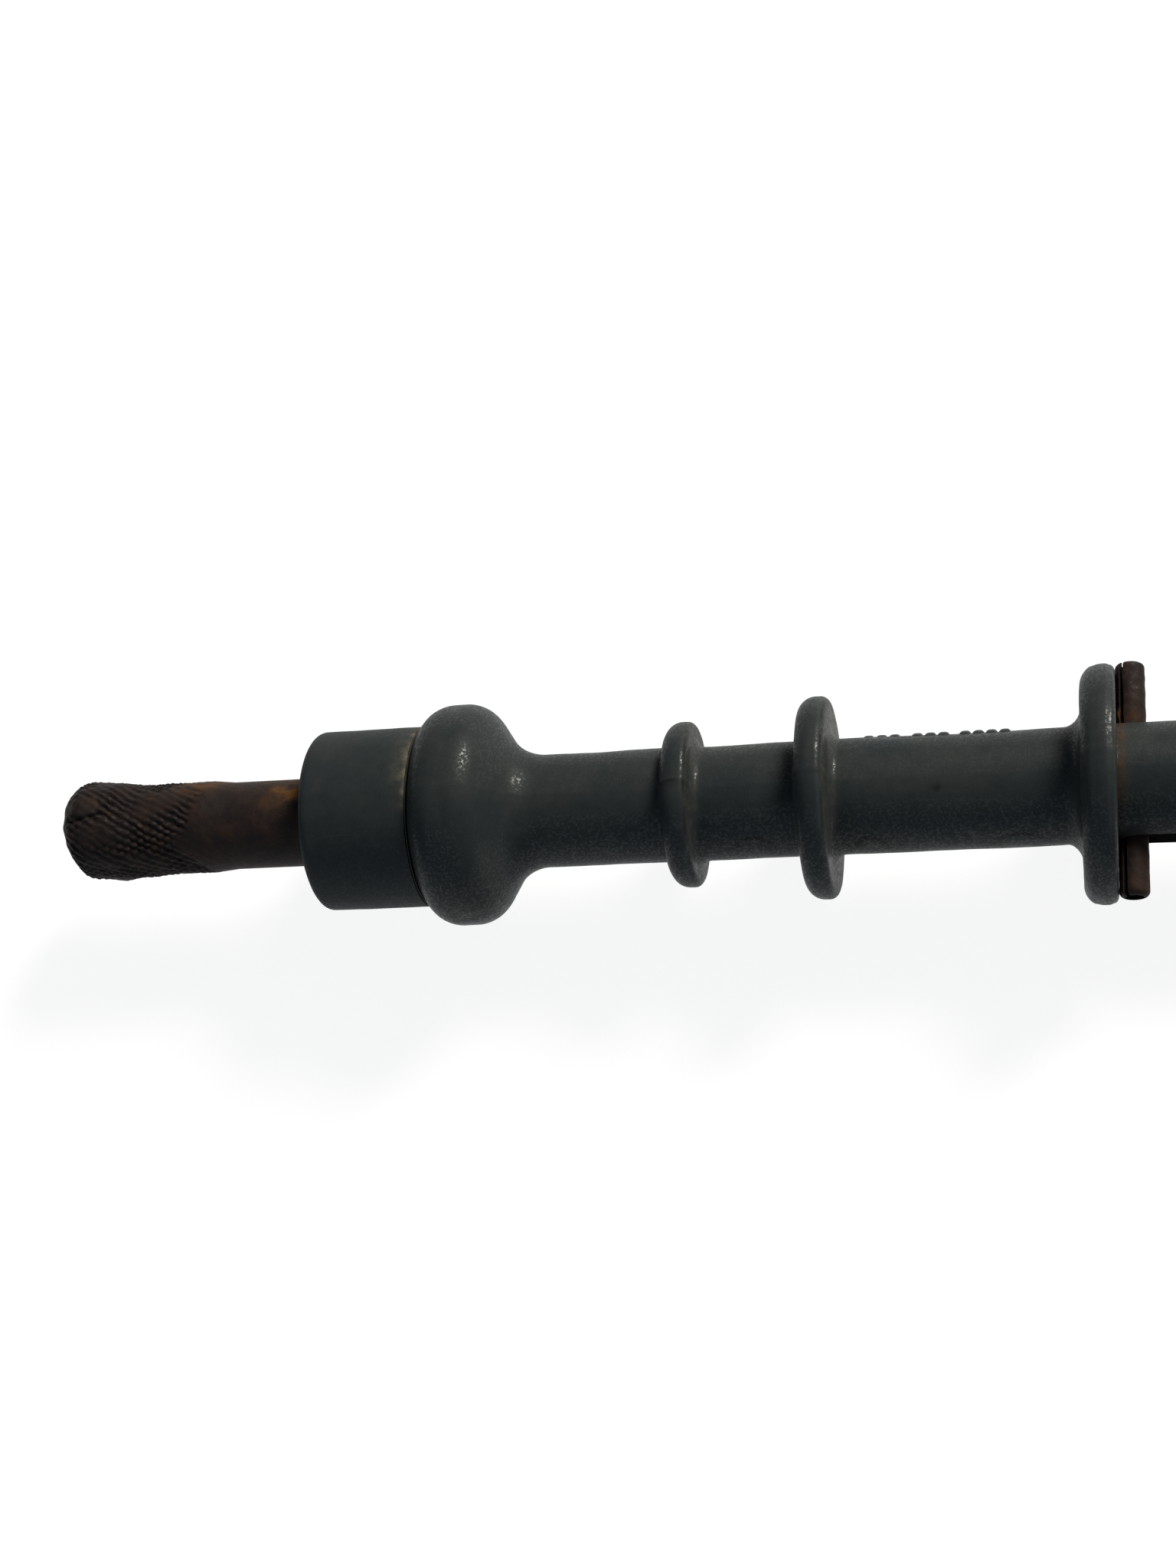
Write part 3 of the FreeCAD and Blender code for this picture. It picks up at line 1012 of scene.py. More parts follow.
@dataclass
class Growth:
    """A Geometry Nodes tree that grows a repeated shape from a few points."""

    name: str
    sizes: dict[str, float | int]
    plan: Callable[[Graph, Wire, dict[str, Wire]], Wire]

    def mesh(self, seeds: np.ndarray, finish: bpy.types.Material) -> bpy.types.Mesh:
        """Runs the tree.

        Args:
            seeds: The points that it starts from, in millimetres.
            finish: The material of what it makes.

        Returns:
            A plain mesh in metres.
        """
        tree = bpy.data.node_groups.new(self.name, "GeometryNodeTree")
        face = tree.interface
        face.new_socket(name="Geometry", in_out="INPUT", socket_type="NodeSocketGeometry")
        face.new_socket(name="Geometry", in_out="OUTPUT", socket_type="NodeSocketGeometry")
        keys: dict[str, str] = {}
        for name, value in self.sizes.items():
            kind = "NodeSocketInt" if isinstance(value, int) else "NodeSocketFloat"
            keys[name] = face.new_socket(name=name, in_out="INPUT", socket_type=kind).identifier
        graph = Graph(tree)
        entry = tree.nodes.new("NodeGroupInput")
        wires = {name: Wire(graph, entry.outputs[name]) for name in self.sizes}
        grown = self.plan(graph, Wire(graph, entry.outputs["Geometry"]), wires)
        solid = graph.node("GeometryNodeRealizeInstances", None, {0: grown})
        dressed = graph.node("GeometryNodeSetMaterial", None, {0: solid, "Material": finish})
        graph.node("NodeGroupOutput", None, {0: dressed})
        start = bpy.data.meshes.new(self.name)
        start.from_pydata((seeds * MM).tolist(), [], [])
        piece = shown(self.name, start)
        step = piece.modifiers.new("growth", "NODES")
        step.node_group = tree
        for name, value in self.sizes.items():
            step[keys[name]] = value
        settled(piece)
        mesh = piece.data
        bpy.data.objects.remove(piece)
        bpy.data.node_groups.remove(tree)
        return mesh


def vector(graph: Graph, x: "Wire | float", y: "Wire | float", z: "Wire | float") -> Wire:
    """Joins three numbers into a vector."""
    return graph.node("ShaderNodeCombineXYZ", None, {0: x, 1: y, 2: z})


# ---- Grip ----------------------------------------------------------------------
@dataclass
class Grip:
    """The moulded grip: bulge, waist, two ribs, finger flange and slotted barrel."""

    barrel_radius: float = 5.0
    barrel_length: float = 42.0
    tube_radius: float = 4.87
    bore_radius: float = 2.95
    flange_radius: float = 10.1
    flange_thickness: float = 2.75
    flange_finger_round: float = 1.75
    flange_pin_round: float = 0.85
    flange_root_fillet: float = 1.6
    finger_space: float = 20.99
    large_rib_radius: float = 8.6
    large_rib_thickness: float = 2.5
    rib_spacing: float = 9.14
    small_rib_radius: float = 7.1
    small_rib_thickness: float = 2.35
    rib_thumb_round: float = 1.45
    small_rib_edge: float = 0.56
    large_rib_edge: float = 0.65
    rib_thumb_root: float = 0.35
    rib_finger_root: float = 0.9
    waist_length: float = 12.91
    flare_run: float = 3.05
    flare_fillet: float = 3.7
    bulge_radius: float = 9.65
    bulge_thumb_round: float = 2.9
    bulge_flare_round: float = 3.1
    spigot_radius: float = 5.60
    chamber_radius: float = 4.60
    chamber_floor: float = 2.4
    gland_shank_radius: float = 3.90
    ferrule_length: float = 5.0
    ferrule_seat: float = 4.65
    slot_half_width: float = 1.35
    slot_end: float = 11.0
    seam_height: float = 0.014
    rib_seam_height: float = 0.055
    seam_width: float = 0.20
    flange_lean: float = 0.27
    flange_proud: float = 0.06
    bar_height: float = 0.3
    bar_root: float = 0.25
    bar_sunk: float = 0.02
    bar_width: float = 0.92
    bar_pitch: float = 1.1
    bar_span: float = 4.4
    bar_groups: tuple[tuple[float, int], ...] = ((2.74, 3), (6.84, 3), (10.84, 4))

    def __post_init__(self) -> None:
        """Works out the places along the axis from the CAD boxes."""
        self.bulge_face = low_x("grip_body")
        self.barrel_end = high_x("grip_body")
        self.flange_face = self.barrel_end - self.barrel_length
        self.flange_left = self.flange_face - self.flange_thickness
        self.large_right = self.flange_left - self.finger_space
        self.large_left = self.large_right - self.large_rib_thickness
        self.small_right = self.large_left - self.rib_spacing
        self.small_left = self.small_right - self.small_rib_thickness
        self.flare_foot = self.small_left - self.waist_length
        self.crest_end = self.flare_foot - self.flare_run
        self.spigot_end = high_x("guide_collar")
        self.chamber_end = self.spigot_end + self.chamber_floor
        self.gland_inner = low_x("gland_body")
        self.pin_x = (low_x("cross_pin") + high_x("cross_pin")) / 2

    def section(self) -> Section:
        """The half section of the moulding with its bores."""
        tube, ferrule = self.tube_radius, self.barrel_end - self.ferrule_length
        pin_side = self.flange_face + self.flange_proud
        corners = [
            Corner(self.bulge_face, self.spigot_radius),
            Corner(self.bulge_face, self.bulge_radius, self.bulge_thumb_round),
            Corner(self.crest_end, self.bulge_radius, self.bulge_flare_round),
            Corner(self.flare_foot, tube, self.flare_fillet),
            *self.rib(self.small_left, self.small_right, self.small_rib_radius, self.small_rib_edge),
            *self.rib(self.large_left, self.large_right, self.large_rib_radius, self.large_rib_edge),
            Corner(self.flange_left, tube, self.flange_root_fillet),
            Corner(self.flange_left, self.flange_radius, self.flange_finger_round),
            Corner(pin_side, self.flange_radius, self.flange_pin_round),
            Corner(pin_side, self.barrel_radius, 0.12),
            Corner(ferrule, self.barrel_radius),
            Corner(ferrule, self.ferrule_seat),
            Corner(self.barrel_end, self.ferrule_seat),
            Corner(self.barrel_end, self.gland_shank_radius),
            Corner(self.gland_inner, self.gland_shank_radius),
            Corner(self.gland_inner, self.bore_radius),
            Corner(self.chamber_end, self.bore_radius),
            Corner(self.chamber_end, self.chamber_radius),
            Corner(self.spigot_end, self.chamber_radius),
            Corner(self.spigot_end, self.spigot_radius),
        ]
        return Section(corners, step=0.42, arc_steps=12)

    def rib(self, left: float, right: float, radius: float, edge: float) -> list[Corner]:
        """The four corners of one rib, from root to root.

        Args:
            left: Its thumb side along X.
            right: Its finger side along X.
            radius: The rib's radius.
            edge: The rounding of its finger side.

        Returns:
            The corners.
        """
        return [
            Corner(left, self.tube_radius, self.rib_thumb_root),
            Corner(left, radius, self.rib_thumb_round),
            Corner(right, radius, edge),
            Corner(right, self.tube_radius, self.rib_finger_root),
        ]

    def relief(self, skin: Skin) -> np.ndarray:
        """How far the moulding stands off its plain turned shape, in millimetres.

        Args:
            skin: The points.

        Returns:
            The height at each point.
        """
        points = skin.points()
        outside = rise(skin.radius, self.ferrule_seat - 0.05, self.tube_radius - 0.05)
        sunk = Waves(11, 9.0).at(points) * 0.030 + Waves(12, 2.6).at(points) * 0.008
        sunk += 0.03 - 0.10 * rise(skin.radius, 9.8, 10.0)
        drift = Waves(13, 5.0).at(points) * 0.25 + 1.0
        on_rib = rise(skin.radius, self.tube_radius + 0.3, self.tube_radius + 1.6)
        on_rib *= skin.x > self.flare_foot
        height = self.seam_height + (self.rib_seam_height - self.seam_height) * on_rib
        for seam in SEAMS:
            sunk += height * drift * bell(across(skin, seam), self.seam_width)
        for x, angle, reach, depth in self.knocks():
            sunk -= depth * bell(away(skin, x, angle), reach)
        return sunk * outside

    def lean(self, skin: Skin) -> np.ndarray:
        """How far each point of the flange stands off square, in millimetres.

        Args:
            skin: The points.

        Returns:
            The offset of each point along X, Y and Z.
        """
        there = rise(skin.x, self.flange_left - 2.2, self.flange_left - 0.2)
        there *= 1 - rise(skin.x, self.flange_face + 0.2, self.flange_face + 1.1)
        there *= rise(skin.radius, self.gland_shank_radius, self.tube_radius - 0.1)
        along = there * self.flange_lean * (upwards(skin) / self.flange_radius - 1)
        return np.stack((along, np.zeros_like(along), np.zeros_like(along)), axis=1)

    def rib_faces(self) -> tuple[tuple[float, float], ...]:
        """The finger side of each rib and its radius."""
        return (self.small_right, self.small_rib_radius), (self.large_right, self.large_rib_radius)

    def knocks(self) -> list[tuple[float, float, float, float]]:
        """Dents from use: place along X, angle, reach and depth."""
        return [
            (self.large_right + 9.0, -0.22, 0.35, 0.06),
            (self.large_right - 0.5, -0.9, 0.6, 0.10),
            (self.small_right - 0.4, -0.5, 0.5, 0.08),
            (self.flange_face - 0.3, -1.9, 0.8, 0.14),
            (self.flange_left + 0.4, 2.2, 0.9, 0.12),
            (self.crest_end - 2.0, 2.7, 1.1, 0.12),
            (self.crest_end - 1.4, -1.45, 0.8, 0.09),
            (self.barrel_end - 16.0, 2.4, 0.7, 0.08),
            (self.barrel_end - 12.0, -2.2, 0.5, 0.07),
        ]

    def dust(self, skin: Skin) -> np.ndarray:
        """Where pale dust lies: right faces of the ribs, their roots and the collar joint.

        Args:
            skin: The points.

        Returns:
            The dust, from 0 to 1.
        """
        lying = np.zeros_like(skin.x)
        for right, radius in self.rib_faces():
            side = hump(skin.x, right - 0.02, 0.34)
            side *= rise(skin.radius, self.tube_radius, self.tube_radius + 0.9)
            side *= 1 - rise(skin.radius, radius - 0.7, radius - 0.1) * 0.6
            root = hump(skin.x, right + 0.45, 0.75) * (1 - rise(skin.radius, 5.0, 6.0))
            lying += side * 0.24 + root * 0.16
        lying *= 0.35 + 0.65 * rise(np.cos(skin.angle - 0.5), -0.3, 0.9)
        foot = hump(skin.x, self.bulge_face + 0.1, 0.8) * (1 - rise(skin.radius, 7.8, 8.9))
        lying += foot * 0.25 * rise(np.cos(skin.angle - 0.42), 0.72, 0.98)
        lying += 0.10 * hump(skin.x, self.flange_left - 0.6, 1.6) * (1 - rise(skin.radius, 5.1, 6.6))
        return lying

    def stain(self, skin: Skin) -> np.ndarray:
        """Where rust from the pin has stained the barrel beside the flange.

        Args:
            skin: The points.

        Returns:
            The stain, from 0 to 1.
        """
        past_flange = rise(skin.x, self.flange_face - 0.2, self.flange_face)
        band = rise(self.flange_face + 1.0 - skin.x, 0.0, 0.8) * past_flange
        band *= 1 - rise(skin.radius, 5.3, 6.2)
        around = 0.25 + 0.75 * rise(np.cos(skin.angle - 0.9), -0.25, 0.75)
        slot_rust = bell(np.abs(np.cos(skin.angle)) * self.barrel_radius - 1.3, 0.5)
        slot_rust *= rise(self.flange_face + 9.0 - skin.x, 0.0, 4.0) * past_flange
        return band * around + slot_rust * 0.30 * (skin.radius < 5.3)

    def grime_and_shade(self, skin: Skin) -> np.ndarray:
        """Where the moulding is darkened: dirt in cracks, specks and a seam, and painted shade along the rib
        rims, in the corner at the flange and on the bulge face behind the collar.

        Args:
            skin: The points.

        Returns:
            The dirt and painted shade, from 0 to 1.
        """
        dark = np.zeros_like(skin.x)
        dark += 0.7 * bell(away(skin, self.large_right + 9.0, -0.22), 0.28)
        for x, angle, wide, tall in self.cracks():
            up = across(skin, angle)
            off = np.abs(np.hypot((skin.x - x) / wide, up / tall) - 1) * wide
            dark += 0.85 * rise(up, 0.1, 0.8) * (skin.radius < 5.4) * bell(off, 0.17)
        patch = np.clip(0.45 + 0.6 * Waves(18, 2.5).at(skin.points()), 0, 1)
        # Painted shade: a dark line along each rib's finger-side rim edge.
        for right, radius in self.rib_faces():
            rim = hump(skin.x, right - 0.12, 0.22) * rise(skin.radius, radius - 0.45, radius - 0.2)
            dark += 0.6 * patch * rim
        seam = bell(across(skin, SEAMS[0]), 0.13) * (skin.radius > 5.3)
        dark += 0.6 * seam * hump(skin.x, (self.small_left + self.small_right) / 2, 1.6)
        # Painted shade in the corner between the flange's pin face and the barrel.
        corner = hump(skin.x, self.flange_face + 0.05, 0.25) * hump(skin.radius, self.barrel_radius, 0.35)
        dark += corner * 0.7
        # Painted shade on the bulge face in the joint behind the collar.
        dark += 0.85 * hump(skin.radius, self.spigot_radius, 2.2) * (skin.x < self.bulge_face + 0.05)
        return dark

    def cracks(self) -> list[tuple[float, float, float, float]]:
        """Hairline arcs low on the tube: place along X, angle, half width and height."""
        return [
            (self.large_right + 3.2, -1.62, 1.6, 2.6),
            (self.large_right + 15.5, -1.72, 2.6, 2.8),
            (self.small_right + 5.0, -1.35, 1.7, 1.8),
        ]

    def wear(self, skin: Skin) -> np.ndarray:
        """Where rims are rubbed paler.

        Args:
            skin: The points.

        Returns:
            The wear, from 0 to 1.
        """
        rims = (
            (self.small_right - 0.35, self.small_rib_radius, 0.5),
            (self.large_right - 0.35, self.large_rib_radius, 0.5),
            (self.flange_face - 0.35, self.flange_radius, 0.4),
            (self.flange_left + 0.5, self.flange_radius, 0.25),
        )
        rubbed = np.zeros_like(skin.x)
        for x, radius, amount in rims:
            rubbed += amount * hump(skin.x, x, 0.5) * rise(skin.radius, radius - 0.5, radius - 0.12)
        for seam in SEAMS:
            rubbed += 0.20 * bell(across(skin, seam), 0.14) * rise(skin.radius, 5.1, 6.5)
        patch = 0.6 + 0.4 * Waves(17, 3.0).at(skin.points())
        return rubbed * np.clip(patch, 0, 1)

    def slot_cutter(self) -> bpy.types.Mesh:
        """The prism that cuts the pin's slot through both barrel walls."""
        half = self.slot_half_width
        ends = (self.pin_x, self.flange_face + self.slot_end - half)
        outline: list[tuple[float, float]] = []
        for end, start_turn in zip(reversed(ends), (-math.pi / 2, math.pi / 2)):
            for step in range(17):
                turn = start_turn + math.pi * step / 16
                outline.append((end + half * math.cos(turn), half * math.sin(turn)))
        return prism("slot_cutter", outline, self.barrel_radius + 2.0)

    def raised_bars(self, finish: bpy.types.Material) -> bpy.types.Mesh:
        """Grows the plain raised bars on the +Y side.

        Args:
            finish: Their material.

        Returns:
            The bars' mesh.
        """

        def plan(graph: Graph, seeds: Wire, sizes: dict[str, Wire]) -> Wire:
            """Bends one arched block round the tube and puts a copy at each point.

            Args:
                graph: The tree's graph.
                seeds: The points.
                sizes: The tree's named inputs.

            Returns:
                The copies.
            """
            height = sizes["Height"] + sizes["Root"]
            block = graph.node(
                "GeometryNodeMeshCube",
                None,
                {
                    "Size": vector(graph, sizes["Width"], sizes["Span"], height),
                    "Vertices X": 9,
                    "Vertices Y": 33,
                    "Vertices Z": 2,
                },
            )
            place = graph.node("GeometryNodeInputPosition")
            x, y, z = (graph.node("ShaderNodeSeparateXYZ", None, {0: place}, output=k) for k in range(3))
            turn = y / sizes["Radius"] + math.pi / 2
            out = y / (sizes["Span"] * 0.5)
            aside = x / (sizes["Width"] * 0.5)
            arch = graph.maths(Operation.POWER, graph.clamped(1.0 - out * out), 0.5)
            crown = sizes["Height"] * arch * (1.0 - aside * aside * aside * aside * 0.75)
            radius = sizes["Radius"] - sizes["Root"] + (sizes["Root"] + crown) * (z / height + 0.5)
            bent = vector(
                graph,
                x,
                radius * graph.maths(Operation.SINE, turn),
                radius * graph.maths(Operation.COSINE, turn),
            )
            curved = graph.node("GeometryNodeSetPosition", None, {"Geometry": block, "Position": bent})
            return graph.node("GeometryNodeInstanceOnPoints", None, {"Points": seeds, "Instance": curved})

        seeds = [
            (self.large_right + setback + self.bar_pitch * step + self.bar_width / 2, 0.0, 0.0)
            for setback, count in self.bar_groups
            for step in range(count)
        ]
        sizes: dict[str, float | int] = {
            "Width": self.bar_width * MM,
            "Span": self.bar_span * MM,
            "Height": self.bar_height * MM,
            "Root": self.bar_root * MM,
            "Radius": (self.tube_radius - self.bar_sunk) * MM,
        }
        return Growth("raised_bars", sizes, plan).mesh(np.array(seeds), finish)

    def build(self) -> None:
        """Makes the moulding and its raised bars."""
        finish = GRIP_FINISH.material()
        lathe = Lathe(self.section(), turns=176, relief=self.relief)
        body = shown("grip_moulding", lathe.mesh("grip_moulding"))
        carved(body, self.slot_cutter())
        skin = skin_of(body.data)
        coats = {"dust": self.dust, "stain": self.stain, "grime_and_shade": self.grime_and_shade, "wear": self.wear}
        for name, rule in coats.items():
            paint_points(body.data, name, rule(skin))
        nudged(body.data, self.lean(skin))
        fitted(body, finish, Body.GRIP, ["grip_body"])
        bars = shown("grip_raised_bars", self.raised_bars(finish))
        soften(bars.data)
        fitted(bars, finish, Body.GRIP, ["grip_body"])


# ---- Collar --------------------------------------------------------------------
@dataclass
class Collar:
    """The turned collar that guides the plunger, with its gasket."""

    radius: float = 7.93
    mouth_worn: float = 0.42
    mouth_round: float = 0.95
    mouth_radius: float = 4.18
    gasket_radius: float = 7.80
    gasket_round: float = 0.08
    squeezed: float = 0.22
    lip: float = 0.9
    lip_round: float = 0.2
    wiper_radius: float = 5.23
    wiper_width: float = 1.3
    bush_seat: float = 5.03
    spigot_radius: float = 5.60

    def __post_init__(self) -> None:
        """Works out the places along the axis from the CAD boxes."""
        self.mouth = low_x("guide_collar")
        self.seat = low_x("collar_gasket")
        self.spigot_end = high_x("guide_collar")

    def section(self) -> Section:
        """The collar's half section with its lip, recess and spigot."""
        wiper = self.mouth + self.lip
        corners = [
            Corner(self.mouth + self.mouth_worn, self.mouth_radius, self.lip_round),
            Corner(self.mouth + self.mouth_worn, self.radius, self.mouth_round),
            Corner(self.seat + self.squeezed, self.radius, 0.10),
            Corner(self.seat + self.squeezed, self.spigot_radius),
            Corner(self.spigot_end, self.spigot_radius),
            Corner(self.spigot_end, self.bush_seat),
            Corner(wiper + self.wiper_width, self.bush_seat),
            Corner(wiper + self.wiper_width, self.wiper_radius),
            Corner(wiper, self.wiper_radius),
            Corner(wiper, self.mouth_radius),
        ]
        return Section(corners, step=0.38, arc_steps=12)

    def relief(self, skin: Skin) -> np.ndarray:
        """How far the collar stands off its plain turned shape, in millimetres.

        Args:
            skin: The points.

        Returns:
            The height at each point.
        """
        points = skin.points()
        outside = rise(skin.radius, self.spigot_radius + 0.2, self.spigot_radius + 0.8)
        uneven = Waves(21, 7.0).at(points) * 0.022 + Waves(22, 2.2).at(points) * 0.006 - 0.03
        uneven -= 0.16 * bell(away(skin, self.seat - 0.1, 0.93), 0.55)
        return uneven * outside

    def dust(self, skin: Skin) -> np.ndarray:
        """Pale dirt along the joint with the bulge, thickest on the upper side.

        Args:
            skin: The points.

        Returns:
            The dust, from 0 to 1.
        """
        upper = rise(np.cos(skin.angle - 0.46), 0.74, 0.96)
        band = 1.5 * hump(skin.x, self.seat + 0.2, 0.62) + 0.30 * hump(skin.x, self.seat - 0.2, 1.5)
        patch = 0.75 + 0.4 * Waves(23, 1.6).at(skin.points())
        light = 0.12 * hump(skin.x, self.mouth + 2.3, 0.5) * hump(turn_from(skin.angle, 0.12), 0.0, 0.10)
        return band * upper * np.clip(patch, 0, 1) * (skin.radius > self.spigot_radius + 0.4) + light

    def grime_and_shade(self, skin: Skin) -> np.ndarray:
        """Dark dirt in the mouth around the rod, and painted shade on the faces in the joint behind the
        gasket.

        Args:
            skin: The points.

        Returns:
            The dirt, from 0 to 1.
        """
        mouth = hump(skin.radius, self.mouth_radius, 0.6) * (skin.x < self.mouth + 2.0)
        # Painted shade: the faces behind the gasket are darkened so the joint reads dark.
        joint = (skin.x > self.seat + self.squeezed - 0.02) * 0.8
        return mouth * 0.8 + joint

    def wear(self, skin: Skin) -> np.ndarray:
        """Where the mouth's rounding is rubbed."""
        patch = Waves(24, 2.4).at(skin.points())
        return hump(skin.x, self.mouth + 0.9, 1.3) * np.clip(patch, 0, 1) * 0.22

    def build(self) -> None:
        """Makes the collar and its gasket."""
        coats: dict[str, Rule] = {"dust": self.dust, "grime_and_shade": self.grime_and_shade, "wear": self.wear}
        lathe = Lathe(self.section(), turns=160, relief=self.relief, coats=coats)
        piece = shown("guide_collar_turned", lathe.mesh("guide_collar_turned"))
        fitted(piece, COLLAR_FINISH.material(), Body.GRIP, ["guide_collar"])
        start, end = self.seat + self.squeezed, high_x("collar_gasket")
        gasket = ring_section(start, end, self.spigot_radius, self.gasket_radius, self.gasket_round)
        mesh = Lathe(Section(gasket, step=0.3, arc_steps=4), 128).mesh("gasket")
        ring = shown("collar_gasket_ring", mesh)
        fitted(ring, FIBRE.material(), Body.GRIP, ["collar_gasket"])


# ---- Plunger -------------------------------------------------------------------
@dataclass
class Plunger:
    """The thumb plunger: hammered knurled head, rod and drilled shank."""

    rod_radius: float = 3.88
    head_radius: float = 4.42
    head_length: float = 14.0
    head_round: float = 2.75
    head_worn: float = 0.28
    head_rim: float = 5.2
    grip_radius: float = 4.10
    neck_length: float = 2.0
    shank_radius: float = 2.3
    knurl_starts: int = 35
    knurl_slope: float = 0.58
    knurl_depth: float = 0.22
    pin_hole: float = 1.25
    socket_radius: float = 1.2
    socket_depth: float = 2.4

    def __post_init__(self) -> None:
        """Works out the places along the axis from the CAD boxes."""
        self.thumb_end = low_x("plunger_rod") + self.head_worn
        self.shank_end = high_x("plunger_rod")
        self.knurl_end = self.thumb_end + self.head_length
        self.shoulder = low_x("buffer_washer")
        self.collar_mouth = low_x("guide_collar")
        self.pin_x = (low_x("cross_pin") + high_x("cross_pin")) / 2
        self.shank_joint = self.pin_x - 3.0

    def section(self) -> Section:
        """The half section from the thumb end to the shoulder."""
        rim = self.thumb_end + self.head_rim
        corners = [
            Corner(self.thumb_end, 0.0, 0.0, 3.0),
            Corner(self.thumb_end, self.head_radius, self.head_round, 4.6),
            Corner(rim, self.head_radius, 1.6, 4.6),
            Corner(rim + self.neck_length, self.grip_radius, 1.6, 4.6),
            Corner(self.knurl_end, self.grip_radius, 1.5, 3.0),
            Corner(self.knurl_end + self.neck_length, self.rod_radius, 1.5),
            Corner(self.shoulder, self.rod_radius, 0.2),
            Corner(self.shoulder, self.shank_radius),
            Corner(self.shank_joint, self.shank_radius),
            Corner(self.shank_joint, 0.0),
        ]
        return Section(corners, step=0.6, arc_steps=16, loop=False)

    def knurl(self, skin: Skin) -> np.ndarray:
        """The height of the worn diamond knurl, from 0 in a groove to 1 on a ridge.

        Args:
            skin: The points.

        Returns:
            The height at each point.
        """
        points = skin.points()
        wander = Waves(31, 4.5).at(points) * 0.16 + Waves(32, 1.1).at(points) * 0.10
        slope = self.knurl_slope / self.grip_radius
        ridges = []
        for sign in (1.0, -1.0):
            phase = (skin.angle + sign * slope * skin.x) * self.knurl_starts / FULL_TURN + wander
            ridges.append(1 - np.abs(2 * (phase % 1.0) - 1))
        falling, rising = ridges
        return np.clip(falling * (0.50 + 0.70 * np.minimum(rising * 1.4, 1.0)), 0, 1)

    def cut_depth(self, skin: Skin) -> np.ndarray:
        """Where the knurl is cut, from 0 to 1: not on the worn patch nor past its end.

        Args:
            skin: The points.

        Returns:
            The depth at each point.
        """
        points = skin.points()
        uneven = Waves(33, 2.0).at(points) * 0.5
        there = rise(self.knurl_end - 0.4 + uneven - skin.x, 0.0, 1.3)
        there *= rise(skin.x, self.thumb_end + 0.25, self.thumb_end + 1.6)
        patch = np.hypot((skin.x - self.thumb_end - 2.8) / 1.8, turn_from(skin.angle, 0.24) / 0.26)
        there *= 0.15 + 0.85 * rise(patch, 0.65, 1.1)
        worn = np.clip(0.72 + 0.42 * Waves(34, 3.0).at(points), 0.22, 1.0)
        return there * worn

    def relief(self, skin: Skin) -> np.ndarray:
        """How far the steel stands off its plain turned shape, in millimetres.

        Args:
            skin: The points.

        Returns:
            The height at each point.
        """
        points = skin.points()
        outside = rise(skin.radius, self.shank_radius + 0.3, self.shank_radius + 1.0)
        at_head = 1 - rise(skin.x, self.thumb_end + 0.5, self.knurl_end)
        lift = (self.knurl(skin) - 1.0) * self.cut_depth(skin) * self.knurl_depth
        lift += Waves(35, 3.0).at(points) * (0.02 + 0.05 * at_head)
        inwards = skin.x - self.thumb_end
        crease = across(skin, -0.09) - 0.06 * inwards * (inwards - 1.3)
        along = rise(inwards, 0.6, 1.4) * (1 - rise(inwards, 3.9, 4.8))
        lift -= 0.20 * along * bell(crease, 0.15) * rise(skin.radius, 2.5, 3.2)
        under = rise(-np.cos(skin.angle - UPPER_SIDE), 0.0, 0.8)
        lift += 0.17 * under * hump(inwards, self.head_rim + 2.0, 3.8)
        lift += Waves(41, 0.45).at(points) * 0.020 * self.cut_depth(skin)
        hammered = 1 - rise(skin.x, self.thumb_end + 0.2, self.thumb_end + 2.4)
        lift += hammered * (Waves(36, 1.7).at(points) * 0.05 + Waves(37, 0.8).at(points) * 0.025 - 0.06)
        near_bush = rise(skin.x, self.collar_mouth - 9.0, self.collar_mouth - 7.5)
        lift *= 1 - near_bush
        fine = (Waves(38, 0.9).at(points) * 0.010 - 0.012) * (1 - near_bush)
        lift *= 1 - 0.6 * rise(skin.x, self.knurl_end, self.knurl_end + 1.5)
        lifted = np.where(skin.radius < 2.5, lift * at_head, lift * np.maximum(outside, at_head))
        return lifted + fine * outside

    def battering(self, skin: Skin) -> np.ndarray:
        """How far blows have pushed each point of the head, in millimetres.

        Args:
            skin: The points.

        Returns:
            The offset of each point along X, Y and Z.
        """
        up = upwards(skin) / self.head_radius
        along = 0.30 * (1 - up) * (1 - rise(skin.x, self.thumb_end, self.thumb_end + 3.2))
        lift = 0.20 * (1 - rise(skin.x, self.thumb_end + 0.5, self.thumb_end + 7.0))
        return np.stack((along, lift * math.sin(UPPER_SIDE), lift * math.cos(UPPER_SIDE)), axis=1)

    def ridge(self, skin: Skin) -> np.ndarray:
        """How high each point of the knurl stands, which sets the painted shade in its grooves and the painted
        highlight on its ridges.
        """
        cut = self.cut_depth(skin)
        return (1 - cut) * 0.72 + cut * self.knurl(skin)

    def rust(self, skin: Skin) -> np.ndarray:
        """Where the rust is orange: beside the collar and at the end of the knurl, on top.

        Args:
            skin: The points.

        Returns:
            The rust, from 0 to 1.
        """
        upper = rise(np.cos(skin.angle - 1.0), 0.25, 0.92)
        collar_side = hump(skin.x, self.collar_mouth - 0.9, 4.6) * upper
        knurl_side = hump(skin.x, self.knurl_end - 1.0, 3.6)
        knurl_side *= rise(np.cos(skin.angle - 1.25), 0.55, 0.98) * 0.55
        patch = np.clip(0.6 + 0.5 * Waves(39, 1.8).at(skin.points()), 0, 1)
        faint = 0.07 * rise(Waves(40, 2.4).at(skin.points()), 0.2, 1.2)
        return collar_side * 0.90 * patch + knurl_side * patch + faint

    def grime_and_shade(self, skin: Skin) -> np.ndarray:
        """Dark grease where the rod enters the collar."""
        return 0.55 * hump(skin.x, self.collar_mouth, 0.9) * rise(skin.radius, 3.0, 3.6)

